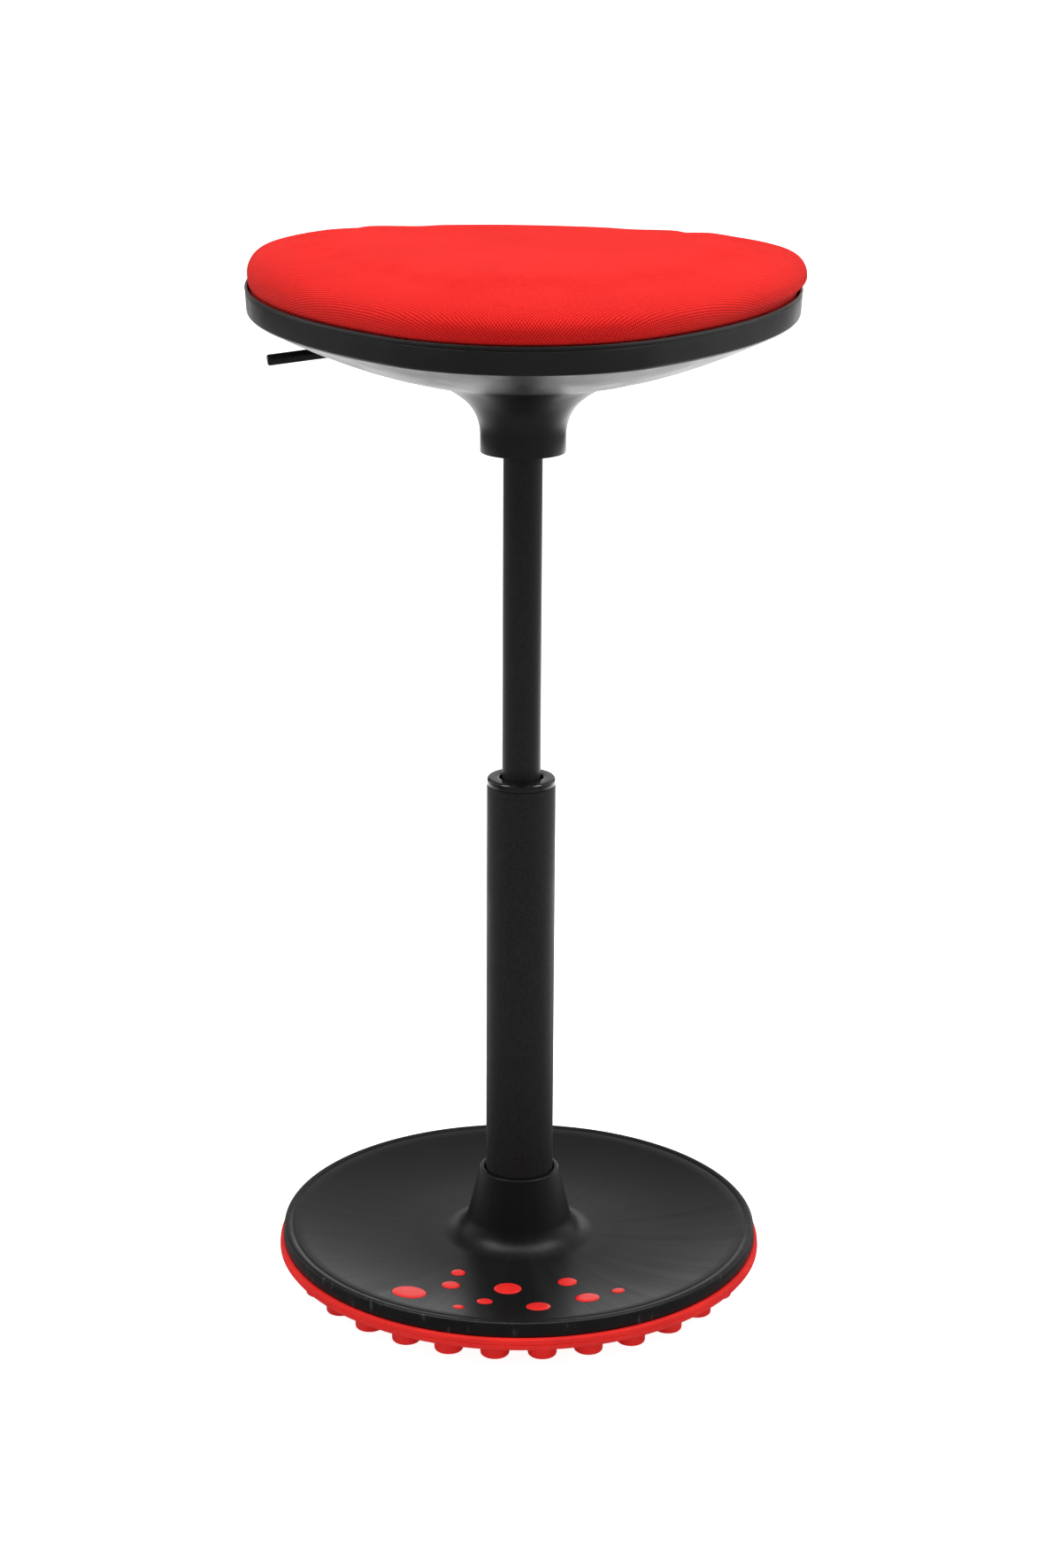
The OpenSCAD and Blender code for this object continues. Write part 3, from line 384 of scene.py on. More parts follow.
shell_r = 178 * mm
disc_edge_r, disc_edge_z = 170 * mm, parting_z + 10.4 * mm
disc_dip, dish_in_r = 9.9 * mm, 80 * mm
disc_z = disc_edge_z - disc_dip
cup_z = disc_z + 52.5 * mm
cup_r = 29.5 * mm
cup_angle = 13.3
flare_r = 20 * mm
flare_z = disc_z + flare_r
cone_r = cup_r + (cup_z - flare_z + flare_r * math.sin(math.radians(cup_angle))) \
    * math.tan(math.radians(cup_angle))
flare_x = cone_r + flare_r * math.cos(math.radians(cup_angle))
wall = 3 * mm


def dish_share(r):
    return max(0.0, r - dish_in_r) / (disc_edge_r - dish_in_r)


def disc_top(r):
    """Height of the dished disc's top at radius r."""
    return disc_z + disc_dip * dish_share(r) ** 2


groove_r = 169 * mm
groove_z = disc_top(groove_r)
bead_x, bead_r = 174.9 * mm, 2.3 * mm
bead_z = groove_z + 0.9 * mm - bead_r
cup_bore_r, cup_step_z = 26 * mm, 72 * mm
dish_steps = [dish_in_r + (groove_r - dish_in_r) * i / 14 for i in range(15)]
shell = turned(
    [(26.1 * mm, cup_z - 0.6 * mm), (26.7 * mm, cup_z)]
    + arc_points((cup_r - 1.3 * mm, cup_z - 1.3 * mm), 1.3 * mm, 90, 6, 5)
    + arc_points((flare_x, flare_z), flare_r, 180 + cup_angle, 270, 20)
    + [(r, disc_top(r)) for r in dish_steps]
    + [(169.9 * mm, groove_z - 0.15 * mm), (170.7 * mm, groove_z - 0.3 * mm),
       (171.5 * mm, groove_z - 0.1 * mm), (172.3 * mm, bead_z + bead_r - 0.5 * mm),
       (173.3 * mm, bead_z + bead_r - 0.12 * mm)]
    + arc_points((bead_x, bead_z), bead_r, 90, 8, 8)
    + [(shell_r - 0.2 * mm, parting_z + 1.2 * mm), (shell_r - 0.6 * mm, parting_z + 0.3 * mm),
       (shell_r - 1.2 * mm, parting_z), (shell_r - wall, parting_z),
       (shell_r - wall - 0.6 * mm, disc_top(bead_x) - wall - mm)]
    + [(r, disc_top(r) - wall) for r in reversed(dish_steps[:-1])]
    + arc_points((flare_x, flare_z), flare_r + wall, 270, 180 + cup_angle, 12)
    + [(28.4 * mm, cup_step_z), (cup_bore_r, cup_step_z), (cup_bore_r, cup_z - 1.2 * mm)],
    steps=192)

dots = [(-79, -117, 25), (-49.5, -98, 13.5), (-44.5, -75.5, 10.5), (-43, -142, 8.5),
        (-24.5, -128, 11.5), (-8, -102.5, 20), (14, -138, 17.5), (35.5, -90.5, 14),
        (49.5, -121.5, 17.5), (72, -110, 9.5)]
dot_sink = 1.6 * mm

satin = Finish("shell_plastic", 0.42, specular=0.33)
around = satin.node("VectorMath", {0: satin.place, 1: (1, 1, 0)}, operation="MULTIPLY")
outward = satin.node("VectorMath", {0: around.outputs[0]}, operation="NORMALIZE").outputs[0]
from_axis = satin.node("VectorMath", {0: around.outputs[0]}, operation="LENGTH").outputs["Value"]
streak = satin.noise(9, 5, where=outward)
fine = satin.noise(30, 4, where=outward)
cloud = satin.noise(14, 4)
mottle = satin.math("MULTIPLY", satin.spread(streak, 0.3, 0.7), satin.spread(cloud, 0.25, 0.75))
scuffed = satin.math("MULTIPLY", satin.spread(from_axis, 0.1715, 0.1740),
                     satin.spread(satin.noise(260, 7, stretch=(1, 1, 0.25)), 0.60, 0.70))
satin.colour(satin.mix(satin.math("MULTIPLY", scuffed, 0.5),
                       satin.mix(mottle, rgb(0.0035, 0.0035, 0.0037), rgb(0.0085, 0.0085, 0.0087)),
                       rgb(0.07, 0.07, 0.07)))
satin.rough(satin.math("ADD", satin.spread(mottle, 0, 1, 0.34, 0.47),
                       satin.spread(fine, 0.3, 0.7, -0.02, 0.03)))
satin.bump(satin.noise(1700, 2), 0.00005)

shell_piece = piece("shell", shell, "base", satin.material, ["base_shell"])


def at_dot(x, y):
    """The place of a dot on the dish, square to its surface."""
    r = math.hypot(x, y) * mm
    slope = math.atan(2 * disc_dip * dish_share(r) / (disc_edge_r - dish_in_r))
    return (Matrix.Translation((x * mm, y * mm, disc_top(r)))
            @ Matrix.Rotation(math.atan2(y, x), 4, "Z") @ Matrix.Rotation(-slope, 4, "Y"))


cutter = bmesh.new()
for x, y, size in dots:
    bmesh.ops.create_cone(cutter, cap_ends=True, segments=40, radius1=(size / 2 + 0.35) * mm,
                          radius2=(size / 2 + 0.35) * mm, depth=2 * dot_sink, matrix=at_dot(x, y))
cutter_mesh = bpy.data.meshes.new("dot_cutter")
cutter.to_mesh(cutter_mesh)
cutter.free()
cutter_object = bpy.data.objects.new("dot_cutter", cutter_mesh)
scene.collection.objects.link(cutter_object)


def apply_modifiers(target):
    """Puts the modifiers' result into the object's own mesh."""
    graph = bpy.context.evaluated_depsgraph_get()
    result = bpy.data.meshes.new_from_object(target.evaluated_get(graph))
    target.modifiers.clear()
    target.data = result


def cut_out(target, tool):
    """Cuts the tool's solid out of the target and removes the tool."""
    cut = target.modifiers.new("cut", "BOOLEAN")
    cut.operation = "DIFFERENCE"
    cut.solver = "EXACT"
    cut.object = tool
    apply_modifiers(target)
    bpy.data.objects.remove(tool)
    target.data.set_sharp_from_angle(angle=math.radians(35))


cut_out(shell_piece, cutter_object)

# Inlay dots: red plugs of the sole's colour, glued into recesses at the front of the shell.
# Each is slightly crowned and stands a hair proud inside a slim dark gap.

inlay = Finish("inlay_plastic", 0.35, specular=0.4)
inlay.clouded(150, 4, rgb(0.78, 0.016, 0.014), rgb(0.90, 0.024, 0.020))
inlay.bump(inlay.noise(1500, 2), 0.00004)
plugs = bmesh.new()
for x, y, size in dots:
    r = size / 2 * mm
    plug = bmesh.new()
    bmesh.ops.create_cone(plug, cap_ends=True, segments=48, radius1=r, radius2=r, depth=dot_sink,
                          matrix=Matrix.Translation((0, 0, -dot_sink / 2 + 0.1 * mm)))
    cap = [f for f in plug.faces if f.normal.z > 0.9]
    bmesh.ops.inset_region(plug, faces=cap, thickness=0.4 * mm, depth=0.25 * mm)
    for inner, rise in ((0.30, 0.12), (0.35, 0.06)):
        bmesh.ops.inset_region(plug, faces=cap, thickness=r * inner, depth=rise * mm)
    plug.transform(at_dot(x, y))
    plug_mesh = bpy.data.meshes.new("plug")
    plug.to_mesh(plug_mesh)
    plug.free()
    plugs.from_mesh(plug_mesh)
piece("dots", plugs, "base", inlay.material, ["inlay_dots"], crease=50)

# Column: a drawn steel tube in fine black powder coat, standing in the socket. A glossy
# moulded collar is pressed into its top, over the bush that the gas tube slides in.

column_r = 25 * mm
column_z = 392 * mm
collar_z = column_z - 5.5 * mm
foot_z, floor_z, taper_z = 29 * mm, 33 * mm, 73 * mm
foot_bore_r = 4.5 * mm
powder = Finish("column_coat", 0.46, specular=0.32)
powder.clouded(700, 3, rgb(0.010, 0.010, 0.0102), rgb(0.018, 0.018, 0.0185), 0.35, 0.65)
powder.uneven(24, 4, 0.43, 0.52)
powder.bump(powder.noise(1300, 3), 0.00007)
column = turned([(foot_bore_r, foot_z), (22.6 * mm, foot_z), (23 * mm, foot_z + 0.4 * mm),
                 (column_r, taper_z), (column_r, collar_z - 0.7 * mm),
                 (column_r - 0.15 * mm, collar_z - 0.3 * mm),
                 (column_r - 0.5 * mm, collar_z - 0.1 * mm),
                 (column_r - 2 * mm, collar_z - 0.1 * mm), (column_r - 2 * mm, taper_z),
                 (21 * mm, floor_z), (foot_bore_r, floor_z)])
piece("column", column, "base", powder.material, ["column_tube"])

gloss = Finish("collar_gloss", 0.12, specular=0.7)
gloss.clouded(90, 4, rgb(0.006, 0.006, 0.006), rgb(0.010, 0.010, 0.010))
gloss.uneven(240, 4, 0.09, 0.17)
gloss.bump(gloss.noise(260, 2), 0.00002)
plug_r, plug_z = 22.9 * mm, 381.5 * mm
collar = turned(
    [(16 * mm, plug_z), (plug_r, plug_z), (plug_r, collar_z + 0.05 * mm),
     (column_r - 0.5 * mm, collar_z + 0.05 * mm), (column_r - 0.1 * mm, collar_z + 0.3 * mm),
     (column_r, collar_z + 0.8 * mm)]
    + arc_points((column_r - 2 * mm, column_z - 2 * mm), 2 * mm, 0, 90, 8)
    + arc_points((17 * mm, column_z - mm), mm, 90, 180, 4))
piece("collar", collar, "base", gloss.material, ["column_collar"])

acetal = Finish("bush_plastic", 0.4)
acetal.clouded(80, 4, rgb(0.035, 0.035, 0.036), rgb(0.06, 0.06, 0.062))
acetal.bump(acetal.noise(700, 2), 0.00003)
give(acetal, "guide_bush", "rod_guide")

# Swivel bearing in the column's foot: ground races, balls in a brass cage, and the rubber
# buffer that the gas tube meets at the bottom of its travel.

ground = Finish("bearing_steel", 0.22, 1.0)
turning = ground.noise(900, 2, stretch=(0.05, 0.05, 1))
ground.colour(ground.mix(ground.spread(turning, 0.3, 0.7), rgb(0.55, 0.55, 0.57),
                         rgb(0.68, 0.68, 0.70)))
ground.rough(ground.spread(turning, 0.3, 0.7, 0.16, 0.30))
brass = Finish("cage_brass", 0.3, 1.0)
brass.clouded(200, 5, rgb(0.62, 0.42, 0.14), rgb(0.76, 0.55, 0.24))
brass.bump(brass.noise(1200, 2), 0.00003)
buffer = Finish("buffer_rubber", 0.75, specular=0.3)
buffer.clouded(150, 5, rgb(0.014, 0.014, 0.014), rgb(0.028, 0.028, 0.028))
buffer.bump(buffer.noise(1500, 3), 0.0001)
give(ground, "lower_race", "upper_race", "bearing_balls")
give(brass, "bearing_cage")
give(buffer, "rubber_buffer")

# Gas lift: chromed rod with its piston, an aluminium inner cylinder and valve, and the outer
# pressure tube, a steel tube in satin charcoal coat that wedges into the seat bracket.

chrome = Finish("rod_chrome", 0.08, 1.0)
chrome.clouded(300, 4, rgb(0.72, 0.73, 0.75), rgb(0.80, 0.81, 0.83))
chrome.uneven(900, 2, 0.05, 0.12)
turned_plastic = Finish("piston_plastic", 0.5)
turned_plastic.clouded(120, 4, rgb(0.62, 0.59, 0.50), rgb(0.74, 0.71, 0.62))
turned_plastic.bump(turned_plastic.noise(2000, 2, stretch=(0.1, 0.1, 1)), 0.00005)
drawn = Finish("cylinder_aluminium", 0.32, 1.0)
drawn.colour(drawn.mix(drawn.spread(drawn.noise(900, 3, stretch=(1, 1, 0.03)), 0.3, 0.7),
                       rgb(0.55, 0.55, 0.57), rgb(0.68, 0.68, 0.70)))
give(chrome, "piston_rod", "valve_pin")
give(turned_plastic, "piston")
give(zinc, "piston_nut", "rod_clip")
give(drawn, "inner_cylinder", "valve_body")

gas_r = 14 * mm
gas_foot_z, gas_taper_z, gas_top_z = 297 * mm, 656.5 * mm, 698.5 * mm
gas_step_z = 658.5 * mm
charcoal = Finish("gas_tube_coat", 0.42, specular=0.35)
charcoal.clouded(900, 3, rgb(0.012, 0.012, 0.0123), rgb(0.020, 0.020, 0.0205), 0.35, 0.65)
charcoal.rough(charcoal.spread(charcoal.noise(30, 4, stretch=(1, 1, 0.3)), 0.3, 0.7, 0.38, 0.48))
charcoal.bump(charcoal.noise(1500, 3), 0.00005)
gas_tube = turned([(12.5 * mm, gas_foot_z), (13.4 * mm, gas_foot_z),
                   (gas_r, gas_foot_z + 0.8 * mm),
                   (gas_r, gas_taper_z), (13.4 * mm, gas_top_z), (11.5 * mm, gas_top_z),
                   (11.5 * mm, gas_step_z), (12.5 * mm, gas_step_z)])
piece("gas_tube", gas_tube, "seat", charcoal.material, ["pressure_tube"])

# Seat bracket: a pressed and painted steel plate under the board, with the taper housing,
# the lever's pivot and the zinc-plated bolts that hold it to the board.

give(black_steel, "seat_bracket", "lever_rocker")
give(zinc, "bracket_bolts", "tee_nuts")
give(chrome, "pivot_pin")

# Release lever: an 8 mm steel rod in black coat, bent once, chamfered at its outer end. It
# passes out through a slot in the dish on the sitter's right.

lever_r = 4 * mm
lever_in = Vector((-46.451, 12.097, 709.5)) * mm
lever_bend = Vector((-96, 25, 701)) * mm
lever_end = Vector((-179, 8, 692)) * mm
bend_r = 16 * mm
chamfer = 0.8 * mm
along = (lever_bend - lever_in).normalized()
beyond = (lever_end - lever_bend).normalized()
turn = along.angle(beyond)
hinge = along.cross(beyond).normalized()
cut = bend_r * math.tan(turn / 2)
lever = bmesh.new()
facing = along.to_track_quat("Z", "Y").to_matrix().to_4x4()
bmesh.ops.create_circle(lever, cap_ends=False, segments=40, radius=lever_r,
                        matrix=Matrix.Translation(lever_in) @ facing)
loop = drawn_on(lever, list(lever.edges), lever_bend - lever_in - cut * along)
centre = lever_bend - cut * along + bend_r * hinge.cross(along)
spun = bmesh.ops.spin(lever, geom=loop + list({v for e in loop for v in e.verts}), cent=centre,
                      axis=hinge, angle=turn, steps=8)["geom_last"]
loop = [g for g in spun if isinstance(g, bmesh.types.BMEdge)]
for length in ((lever_end - lever_bend).length - cut - chamfer, chamfer):
    loop = drawn_on(lever, loop, beyond * length)
rim = list({v for e in loop for v in e.verts})
tip = sum((v.co for v in rim), Vector()) / len(rim)
bmesh.ops.scale(lever, verts=rim, vec=(0.8, 0.8, 0.8), space=Matrix.Translation(-tip))
bmesh.ops.holes_fill(lever, edges=[e for e in lever.edges if e.is_boundary], sides=0)
bmesh.ops.recalc_face_normals(lever, faces=lever.faces)
lever_coat = Finish("lever_coat", 0.3, specular=0.5)
lever_coat.clouded(160, 5, rgb(0.005, 0.005, 0.005), rgb(0.012, 0.012, 0.012), 0.35, 0.7)
lever_coat.uneven(300, 4, 0.24, 0.38)
lever_coat.bump(lever_coat.noise(1100, 3), 0.00004)
piece("lever", lever, "lever", lever_coat.material, ["lever_rod"])

# Seat pan: one satin black moulding. A skirt over the bracket flares into a shallow dish in
# the outline of a rounded triangle, and a rim with a slim glossier lip stands round it.

nose_r, nose_turn = 122 * mm, 45.5
side_r = 396 * mm
back_corner_r, back_turn = 78 * mm, 169
seat_front = 202 * mm
skirt_z, rim_z, rim_top_z = 630 * mm, 716.5 * mm, 735 * mm
dish_bow = 4.2 * mm
board_seat_z = 726.5 * mm


def arc_step(radius, start, stop):
    """Travel along an arc between two tangent turns, in degrees."""
    a, b = math.radians(start), math.radians(stop)
    return Vector((radius * (math.sin(b) - math.sin(a)), radius * (math.cos(a) - math.cos(b))))


front_point = Vector((0, -seat_front))
side_point = front_point + arc_step(nose_r, 0, nose_turn)
corner_point = side_point + arc_step(side_r, nose_turn, 90)
back_point = corner_point + arc_step(back_corner_r, 90, back_turn)
back_r = back_point.x / math.sin(math.radians(back_turn))


def outline(turn, out=0.0):
    """A point of the seat's outline at a tangent turn of 0 to 360 degrees, moved out."""
    half = min(turn, 360 - turn)
    if half <= nose_turn:
        p = front_point + arc_step(nose_r, 0, half)
    elif half <= 90:
        p = side_point + arc_step(side_r, nose_turn, half)
    elif half <= back_turn:
        p = corner_point + arc_step(back_corner_r, 90, half)
    else:
        p = back_point + arc_step(back_r, back_turn, half)
    a = math.radians(half)
    p = p + out * Vector((math.sin(a), -math.cos(a)))
    return p if turn <= 180 else Vector((-p.x, p.y))


half_turns = ([nose_turn * i / 14 for i in range(14)]
              + [nose_turn + (90 - nose_turn) * i / 30 for i in range(30)]
              + [90 + (back_turn - 90) * i / 20 for i in range(20)]
              + [back_turn + (180 - back_turn) * i / 12 for i in range(12)])
turns = half_turns + [180] + [360 - t for t in reversed(half_turns[1:])]


def seat_ring(out, z):
    return [(*outline(t, out), z) for t in turns]


def round_ring(r, z):
    return [(r * math.sin(math.radians(t)), -r * math.cos(math.radians(t)), z) for t in turns]


def lofted(rings, closed=False):
    """A bmesh drawn from ring to ring by extruding the loop of the last one."""
    bm = bmesh.new()
    row = [bm.verts.new(p) for p in rings[0]]
    loop = [bm.edges.new(pair) for pair in zip(row, row[1:] + row[:1])]
    for ring in rings[1:] + (rings[:1] if closed else []):
        made = bmesh.ops.extrude_edge_only(bm, edges=loop)["geom"]
        fresh = {tuple(g.co): g for g in made if isinstance(g, bmesh.types.BMVert)}
        row = [fresh[tuple(v.co)] for v in row]
        for v, p in zip(row, ring):
            v.co = p
        ends = set(row)
        loop = [g for g in made if isinstance(g, bmesh.types.BMEdge) and ends.issuperset(g.verts)]
    bmesh.ops.remove_doubles(bm, verts=bm.verts, dist=1e-6)
    bmesh.ops.recalc_face_normals(bm, faces=bm.faces)
    return bm


hub_r1, hub_r2 = 33 * mm, 70 * mm
hub_turn, flare_turn = 50, 78
skirt_r = 30.3 * mm
hub_centre = Vector((skirt_r + hub_r1, skirt_z + 12.5 * mm))
second_centre = hub_centre + (hub_r2 - hub_r1) * Vector(
    (math.cos(math.radians(hub_turn)), -math.sin(math.radians(hub_turn))))


def hub_point(turn, inside=0.0):
    """A point of the hub's flare, moved into the wall."""
    centre, r = (hub_centre, hub_r1) if turn <= hub_turn else (second_centre, hub_r2)
    a = math.radians(turn)
    return centre + (r + inside) * Vector((-math.cos(a), math.sin(a)))


flare = ([hub_turn * i / 8 for i in range(9)]
         + [hub_turn + (flare_turn - hub_turn) * i / 6 for i in range(1, 7)])
pan_wall = 3 * mm
lean = 1.2 * mm
lip_in = lean - 2.5 * mm


def dish_ring(share, inside=0.0):
    """A ring part of the way from the flare's end to the rim's foot, bowed down between them."""
    start = hub_point(flare_turn, inside)
    bow = Vector((0, 0, 4 * dish_bow * share * (1 - share)))
    inner = round_ring(start.x, start.y)
    outer = seat_ring(-2.2 * mm - inside, rim_z - 0.62 * mm + inside)
    return [tuple(Vector(a) * (1 - share) + Vector(b) * share - bow) for a, b in zip(inner, outer)]


rim_foot = [(-0.9, -0.2), (-0.15, 0.6), (0.15, 1.6)]
lip_face = [(-0.3, -3.6), (-0.75, -3.2), (-0.75, -2.7), (-0.1, -2.2), (0, -1.5), (-0.25, -0.55),
            (-0.9, 0)]
lip_back = [(0.7, 0), (0.1, -0.5), (0, -1.2)]
pan_rings = (
    [round_ring(skirt_r - 1.0 * mm, skirt_z), round_ring(skirt_r - 0.3 * mm, skirt_z + 0.2 * mm),
     round_ring(skirt_r, skirt_z + 0.8 * mm)]
    + [round_ring(*hub_point(t)) for t in flare]
    + [dish_ring(i / 8) for i in range(1, 9)]
    + [seat_ring(out * mm, rim_z + up * mm) for out, up in rim_foot]
    + [seat_ring(lean + out * mm, rim_top_z + up * mm) for out, up in lip_face]
    + [seat_ring(lip_in + out * mm, rim_top_z + up * mm) for out, up in lip_back]
    + [seat_ring(lip_in, board_seat_z), seat_ring(lip_in - 10 * mm, board_seat_z)]
    + [dish_ring(share, pan_wall) for share in (0.93, 0.75, 0.5, 0.25)]
    + [round_ring(*hub_point(t, pan_wall)) for t in reversed(flare)]
    + [round_ring(skirt_r - pan_wall, skirt_z)])
pan = lofted(pan_rings, closed=True)

dish = Finish("pan_plastic", 0.38, specular=0.48)
dish.clouded(18, 4, rgb(0.009, 0.009, 0.0092), rgb(0.012, 0.012, 0.0122))
dish.uneven(40, 5, 0.34, 0.42)
dish.bump(dish.noise(1600, 2), 0.00004)
pan_piece = piece("pan", pan, "seat", dish.material, ["seat_pan"], crease=40)

slot_w, slot_tall, slot_z = 12 * mm, 60 * mm, 692 * mm
slot_from = lever_end.lerp(lever_bend, 0.17)
slot_to = lever_end.lerp(lever_bend, 0.93)
slot_turn = math.atan2(slot_to.y - slot_from.y, slot_to.x - slot_from.x)
slot_cut = bmesh.new()
bmesh.ops.create_cube(slot_cut, size=1, matrix=Matrix.Diagonal(
    ((slot_to - slot_from).length, slot_w, slot_tall, 1)))
bmesh.ops.bevel(slot_cut, geom=[e for e in slot_cut.edges
                                if abs(e.verts[0].co.z - e.verts[1].co.z) > 0.01],
                offset=5 * mm, segments=6, profile=0.5, affect="EDGES", material=-1)
middle = (slot_from + slot_to) / 2
bmesh.ops.transform(slot_cut, verts=slot_cut.verts,
                    matrix=Matrix.Translation((middle.x, middle.y, slot_z))
                    @ Matrix.Rotation(slot_turn, 4, "Z"))
slot_mesh = bpy.data.meshes.new("slot_cutter")
slot_cut.to_mesh(slot_mesh)
slot_cut.free()
slot_object = bpy.data.objects.new("slot_cutter", slot_mesh)
scene.collection.objects.link(slot_object)
cut_out(pan_piece, slot_object)

post_r, post_bore_r = 7 * mm, 4.05 * mm
post_share = 0.38
posts = bmesh.new()
start = hub_point(flare_turn)
for t in (60, 110, 165, 195, 250, 300):
    a = math.radians(t)
    foot = (Vector((start.x * math.sin(a), -start.x * math.cos(a), start.y)) * (1 - post_share)
            + Vector((*outline(t), rim_z)) * post_share)
    foot.z -= 4 * dish_bow * post_share * (1 - post_share)
    low, high = foot.z + 2.2 * mm, board_seat_z + 0.9 * mm
    half_way = (low + high) / 2
    for r in (post_r, post_bore_r):
        bmesh.ops.create_cone(posts, cap_ends=False, segments=32, radius1=r, radius2=r,
                              depth=high - low,
                              matrix=Matrix.Translation((foot.x, foot.y, half_way)))
    rims = [e for e in posts.edges if e.is_boundary]
    bmesh.ops.bridge_loops(posts, edges=[e for e in rims if e.verts[0].co.z > half_way])
    bmesh.ops.bridge_loops(posts, edges=[e for e in rims if e.verts[0].co.z < half_way])
bmesh.ops.recalc_face_normals(posts, faces=posts.faces)
piece("pan_posts", posts, "seat", dish.material)

# Seat board: raw plywood on the pan's ledge, held to the posts by push-in nylon clips.

ply = Finish("board_plywood", 0.6, specular=0.3)
layers = ply.noise(240, 2, stretch=(0.02, 0.02, 3))
grain = ply.noise(60, 6, stretch=(1, 0.08, 1))
ply.colour(ply.mix(ply.spread(ply.math("ADD", layers, grain), 0.7, 1.3), rgb(0.42, 0.27, 0.13),
                   rgb(0.66, 0.48, 0.28)))
ply.bump(grain, 0.0001)
nylon = Finish("clip_nylon", 0.45)
nylon.clouded(100, 4, rgb(0.62, 0.62, 0.57), rgb(0.74, 0.74, 0.70))
nylon.bump(nylon.noise(900, 2), 0.00003)
give(ply, "seat_board")
give(nylon, "board_clips")

# Cushion: moulded foam under a woven red cover, drawn tight over the board by hand. It stands
# out over the rim at the nose and to the sitter's left, stays just inside it elsewhere, and
# rolls over to a broad, almost flat crown.

foam_z, tuck_z = 737.7 * mm, 735.25 * mm
bulge_z, crown_z = 744 * mm, 772.5 * mm
bulge_out = -0.8 * mm
crown_edge, crown_round = 7, 2.1
wrap_in = 3.3 * mm
foot_in = wrap_in * 0.78


def crown_height(s, top):
    return bulge_z + (top - bulge_z) * max(0.0, 1 - s ** crown_edge) ** (1 / crown_round)


def smooth_step(share):
    share = max(0.0, min(1.0, share))
    return share * share * (3 - 2 * share)


def nose_out(turn):
    """How far the cover stands out from the rim's foot: more over the nose than at the sides."""
    half = min(turn, 360 - turn)
    return bulge_out + 3.4 * mm * (1 - smooth_step((half - 25) / 50))


def lopsided(x, z):
    """How far the hand-drawn cover sits out to the sitter's left, and its shoulders' unevenness."""
    out = smooth_step((x - 90 * mm) / (110 * mm)) * smooth_step((z - foam_z) / (5 * mm))
    down = 2.2 * mm * smooth_step(x / (110 * mm))
    down *= 1 - 0.9 * smooth_step((x - 110 * mm) / (60 * mm))
    up = 2 * mm * smooth_step((-x - 135 * mm) / (25 * mm))
    return out * 4.6 * mm, (up - down) * smooth_step((z - bulge_z) / (20 * mm))


def cushion_form(inside):
    """The pad's closed skin, that much smaller above its foot, with closely spaced rings."""
    rings = [seat_ring(-wrap_in - 12 * mm, foam_z), seat_ring(-wrap_in - 3 * mm, foam_z),
             seat_ring(-wrap_in - 1.4 * mm, foam_z - 0.9 * mm), seat_ring(-foot_in, tuck_z)]
    for i in range(1, 10):
        a = math.radians(i * 10)
        z = bulge_z - (bulge_z - tuck_z) * math.cos(a)
        rings.append([(*outline(t, -foot_in + (nose_out(t) + foot_in) * math.sin(a)), z)
                      for t in turns])
    shares = [math.sin(math.radians(90 - i * 3)) ** (2 / crown_edge) for i in range(1, 30)]
    shares += [shares[-1] * share for share in (0.9, 0.8, 0.7, 0.6, 0.5, 0.4, 0.3, 0.2, 0.1)]
    for s in shares:
        z = crown_height(s, crown_z - inside)
        rings.append([(*(s * outline(t, nose_out(t) - inside)), z) for t in turns])
    bm = lofted(rings)
    foot = [e for e in bm.edges if e.is_boundary and e.verts[0].co.z < bulge_z]
    bmesh.ops.edgeloop_fill(bm, edges=foot)
    bmesh.ops.edgeloop_fill(bm, edges=[e for e in bm.edges if e.is_boundary])
    bmesh.ops.recalc_face_normals(bm, faces=bm.faces)
    bm.verts.index_update()
    return bm


swell = 2.5 * mm
slack, full = cushion_form(swell), cushion_form(0)
form_mesh = bpy.data.meshes.new("pad_form")
slack.to_mesh(form_mesh)
form_object = bpy.data.objects.new("pad_form", form_mesh)
scene.collection.objects.link(form_object)
pad = bpy.data.objects.new("pad", form_mesh.copy())
scene.collection.objects.link(pad)
voxels = pad.modifiers.new("voxels", "REMESH")
voxels.mode = "VOXEL"
voxels.voxel_size = 5 * mm
voxels.use_smooth_shade = True
settle = pad.modifiers.new("settle", "SHRINKWRAP")
settle.target = form_object
settle.wrap_method = "NEAREST_SURFACEPOINT"
apply_modifiers(pad)
bpy.data.objects.remove(form_object)
at_rest = [v.co.copy() for v in pad.data.vertices]

held = pad.vertex_groups.new(name="glued")
held.add([v.index for v in pad.data.vertices if v.co.z < bulge_z], 1.0, "REPLACE")
cloth = pad.modifiers.new("filling", "CLOTH")
cloth.settings.quality = 6
cloth.settings.mass = 0.3
cloth.settings.tension_stiffness = 20
cloth.settings.compression_stiffness = 20
cloth.settings.shear_stiffness = 8
cloth.settings.bending_stiffness = 2
cloth.settings.use_pressure = True
cloth.settings.uniform_pressure_force = 4
cloth.settings.effector_weights.gravity = 0
cloth.settings.vertex_group_mass = "glued"
frames = 20
cloth.point_cache.frame_start, cloth.point_cache.frame_end = 1, frames
for step in range(1, frames + 1):
    scene.frame_set(step)
apply_modifiers(pad)
scene.frame_set(1)

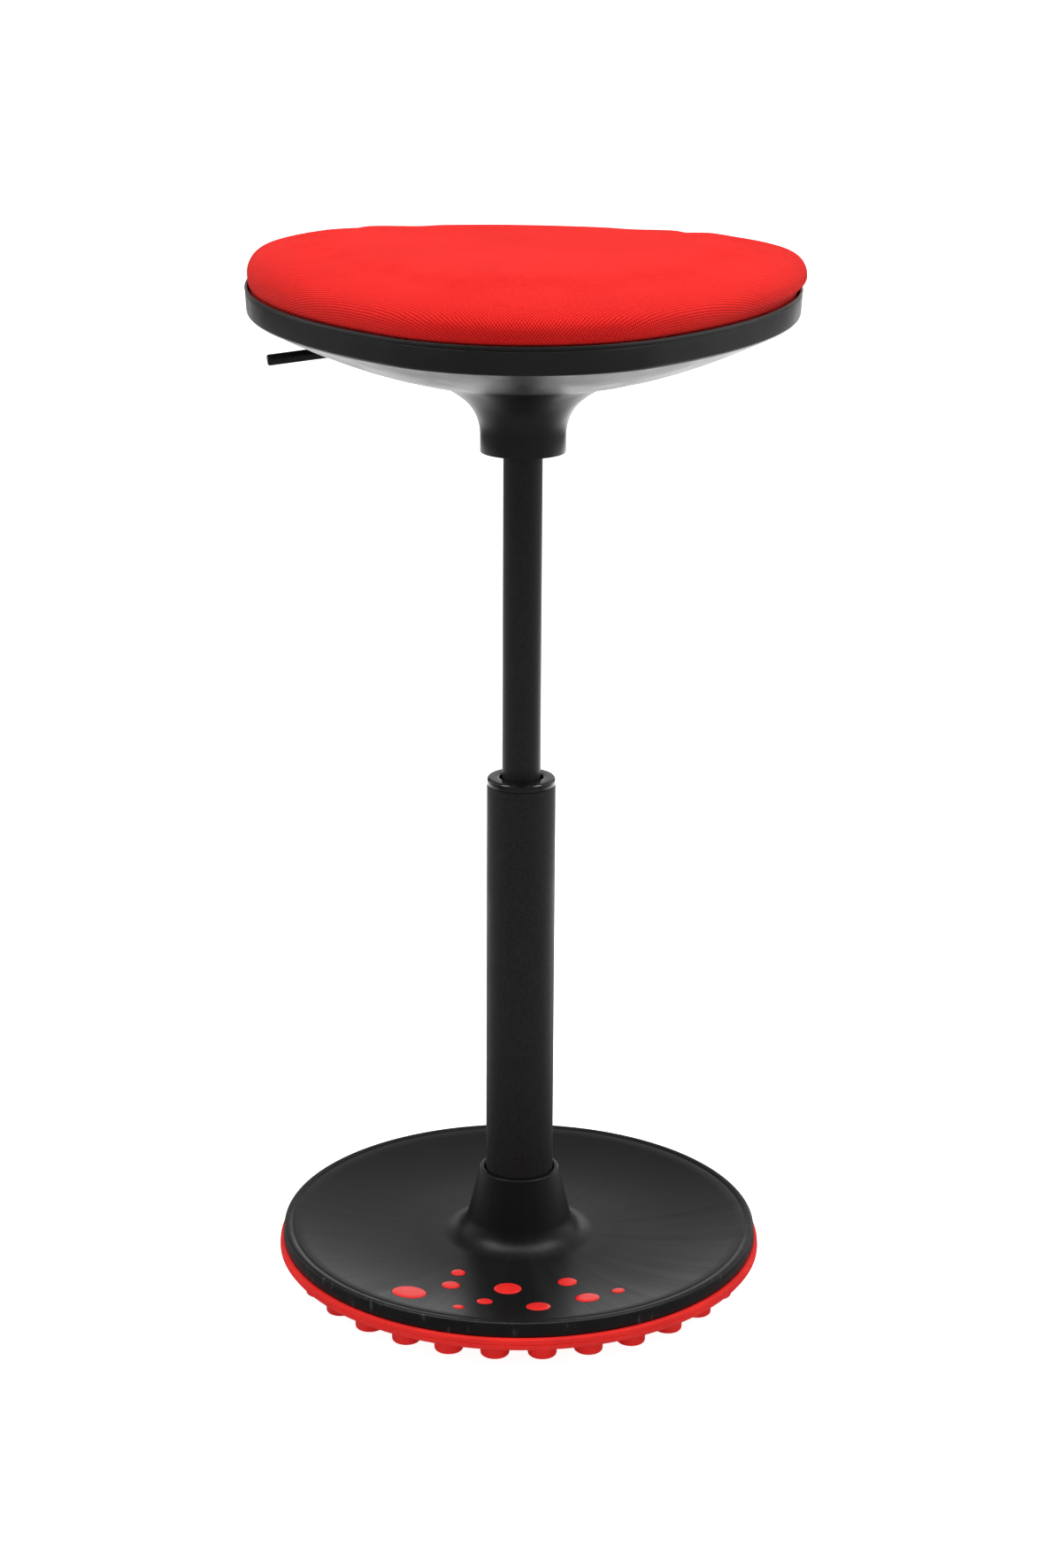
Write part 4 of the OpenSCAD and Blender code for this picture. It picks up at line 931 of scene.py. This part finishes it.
# The swelling is carried over to the form's own even rings, capped, and fades out towards
# the foot, which is drawn tight against the lip.
nearby = kdtree.KDTree(len(at_rest))
for i, rest in enumerate(at_rest):
    nearby.insert(rest, i)
nearby.balance()
for thin, v in zip(slack.verts, full.verts):
    share = smooth_step((v.co.z - bulge_z) / (crown_z - bulge_z))
    if share:
        moved, weights = Vector(), 0.0
        for rest, i, gap in nearby.find_n(thin.co, 8):
            weight = 1 / (gap + 2 * mm) ** 2
            moved += (pad.data.vertices[i].co - rest) * weight
            weights += weight
        moved /= weights
        v.co = v.co.lerp(thin.co + moved.normalized() * min(moved.length, swell), share)
slack.free()
bpy.data.objects.remove(pad)
for v in full.verts:
    lift = max(0.0, (v.co.z - bulge_z) / (crown_z - bulge_z))
    rumple = noise.noise(v.co * 14) * 0.5 + noise.noise(v.co * 33) * 0.25
    out, down = lopsided(v.co.x, v.co.z)
    v.co.z += lift * rumple * 0.6 * mm + down
    v.co.x += out
skin_mesh = bpy.data.meshes.new("cushion_skin")
full.to_mesh(skin_mesh)
full.free()
holder = bpy.data.objects.new("cushion_skin", skin_mesh)
scene.collection.objects.link(holder)
finer = holder.modifiers.new("finer", "SUBSURF")
finer.levels = finer.render_levels = 1
apply_modifiers(holder)
cover = bmesh.new()
cover.from_mesh(holder.data)
bpy.data.objects.remove(holder)

hem_z = board_seat_z + 1.1 * mm
under_z = board_seat_z + 0.05 * mm
hem_profile = [(1.3, foam_z + mm), (1.25, hem_z), (18, hem_z), (18, under_z), (1, under_z),
               (0.05, board_seat_z + mm), (0.05, foam_z + 0.6 * mm)]
hem = lofted([seat_ring(-wrap_in - back * mm, z) for back, z in hem_profile], closed=True)
hem_mesh = bpy.data.meshes.new("hem")
hem.to_mesh(hem_mesh)
hem.free()
cover.from_mesh(hem_mesh)

# The weave lies along the cover's own surface: each point's pattern place is its distance
# over the crown from the middle, in its own direction.
edge_table = sorted((math.atan2(p.x, -p.y), p.length)
                    for p in (outline(t, bulge_out) for t in turns))


def reach(direction):
    """Distance from the axis to the cushion's widest line in a direction."""
    for (a, r), (b, q) in zip(edge_table, edge_table[1:]):
        if a <= direction <= b:
            return r + (q - r) * (direction - a) / max(b - a, 1e-9)
    return edge_table[-1][1]


crown_shares = ([0.1 * i for i in range(5)]
                + [math.sin(math.radians(i * 3)) ** (2 / crown_edge) for i in range(2, 31)])
crown_path = [(s, crown_height(s, crown_z)) for s in crown_shares]


def over_crown(s, z, edge):
    """Distance along the surface from the middle to a point at share s of the edge."""
    best, path, nearest = 1e9, 0.0, 0.0
    for (s0, z0), (s1, z1) in zip(crown_path, crown_path[1:]):
        step = Vector(((s1 - s0) * edge, z1 - z0))
        start = Vector((s0 * edge, z0))
        here = max(0.0, min(1.0, (Vector((s * edge, z)) - start).dot(step) / step.length_squared))
        gap = (start + here * step - Vector((s * edge, z))).length
        if gap < best:
            best, nearest = gap, path + here * step.length
        path += step.length
    return nearest + max(0.0, bulge_z - z)


weave_map = cover.loops.layers.uv.new("weave")
cover.verts.index_update()
places = {}
for v in cover.verts:
    r = v.co.xy.length
    direction = math.atan2(v.co.x, -v.co.y)
    edge = reach(direction)
    length = over_crown(min(r / edge, 1.0), v.co.z, edge)
    places[v.index] = (length * math.sin(direction), -length * math.cos(direction))
for face in cover.faces:
    for corner in face.loops:
        corner[weave_map].uv = places[corner.vert.index]

fabric = Finish("cover_fabric", 0.85, specular=0.15, Sheen_Weight=0.12, Sheen_Roughness=0.45)
uv = fabric.node("UVMap", uv_map="weave").outputs[0]
apart = fabric.node("SeparateXYZ", {0: uv})
wobble = fabric.spread(fabric.noise(60, 2, where=uv), 0.3, 0.7, -0.3, 0.3)
warp_w, weft_w = 1.1 * mm, 1.3 * mm
warp = fabric.math("SINE", fabric.math(
    "ADD", fabric.math("MULTIPLY", apart.outputs[0], math.pi / warp_w), wobble))
weft = fabric.math("SINE", fabric.math(
    "ADD", fabric.math("MULTIPLY", apart.outputs[1], math.pi / weft_w), wobble))
knot = fabric.math("MULTIPLY", warp, weft)
fibre = fabric.noise(2600, 3, where=uv)
patch = fabric.noise(9, 3, where=uv)
height = fabric.math("ADD", fabric.spread(knot, -1, 1), fabric.math("MULTIPLY", fibre, 0.35))
# The colour follows the weave's height: the hollows between the threads get painted shade, and the
# fibre noise adds real random tone.
painted_shade_and_fibre = fabric.math("ADD", fabric.spread(knot, -0.9, 0.9),
                    fabric.spread(fibre, 0.3, 0.7, -0.25, 0.25))
# The darker red is painted shade for the hollows between threads; the lighter red is the thread's own
# colour. Both vary in random patches.
painted_shade_red = fabric.mix(fabric.spread(patch, 0.3, 0.7), rgb(0.36, 0.002, 0.002), rgb(0.42, 0.003, 0.0025))
bright = fabric.mix(fabric.spread(patch, 0.3, 0.7), rgb(0.93, 0.014, 0.011), rgb(1.0, 0.020, 0.016))
fabric.colour(fabric.mix(fabric.spread(painted_shade_and_fibre, 0.15, 0.8), painted_shade_red, bright))
fabric.shader.inputs["Sheen Tint"].default_value = rgb(1.0, 0.25, 0.2)
fabric.bump(height, 0.0006)
cushion = piece("cushion", cover, "seat", fabric.material,
                ["seat_cover", "seat_foam"], crease=60)
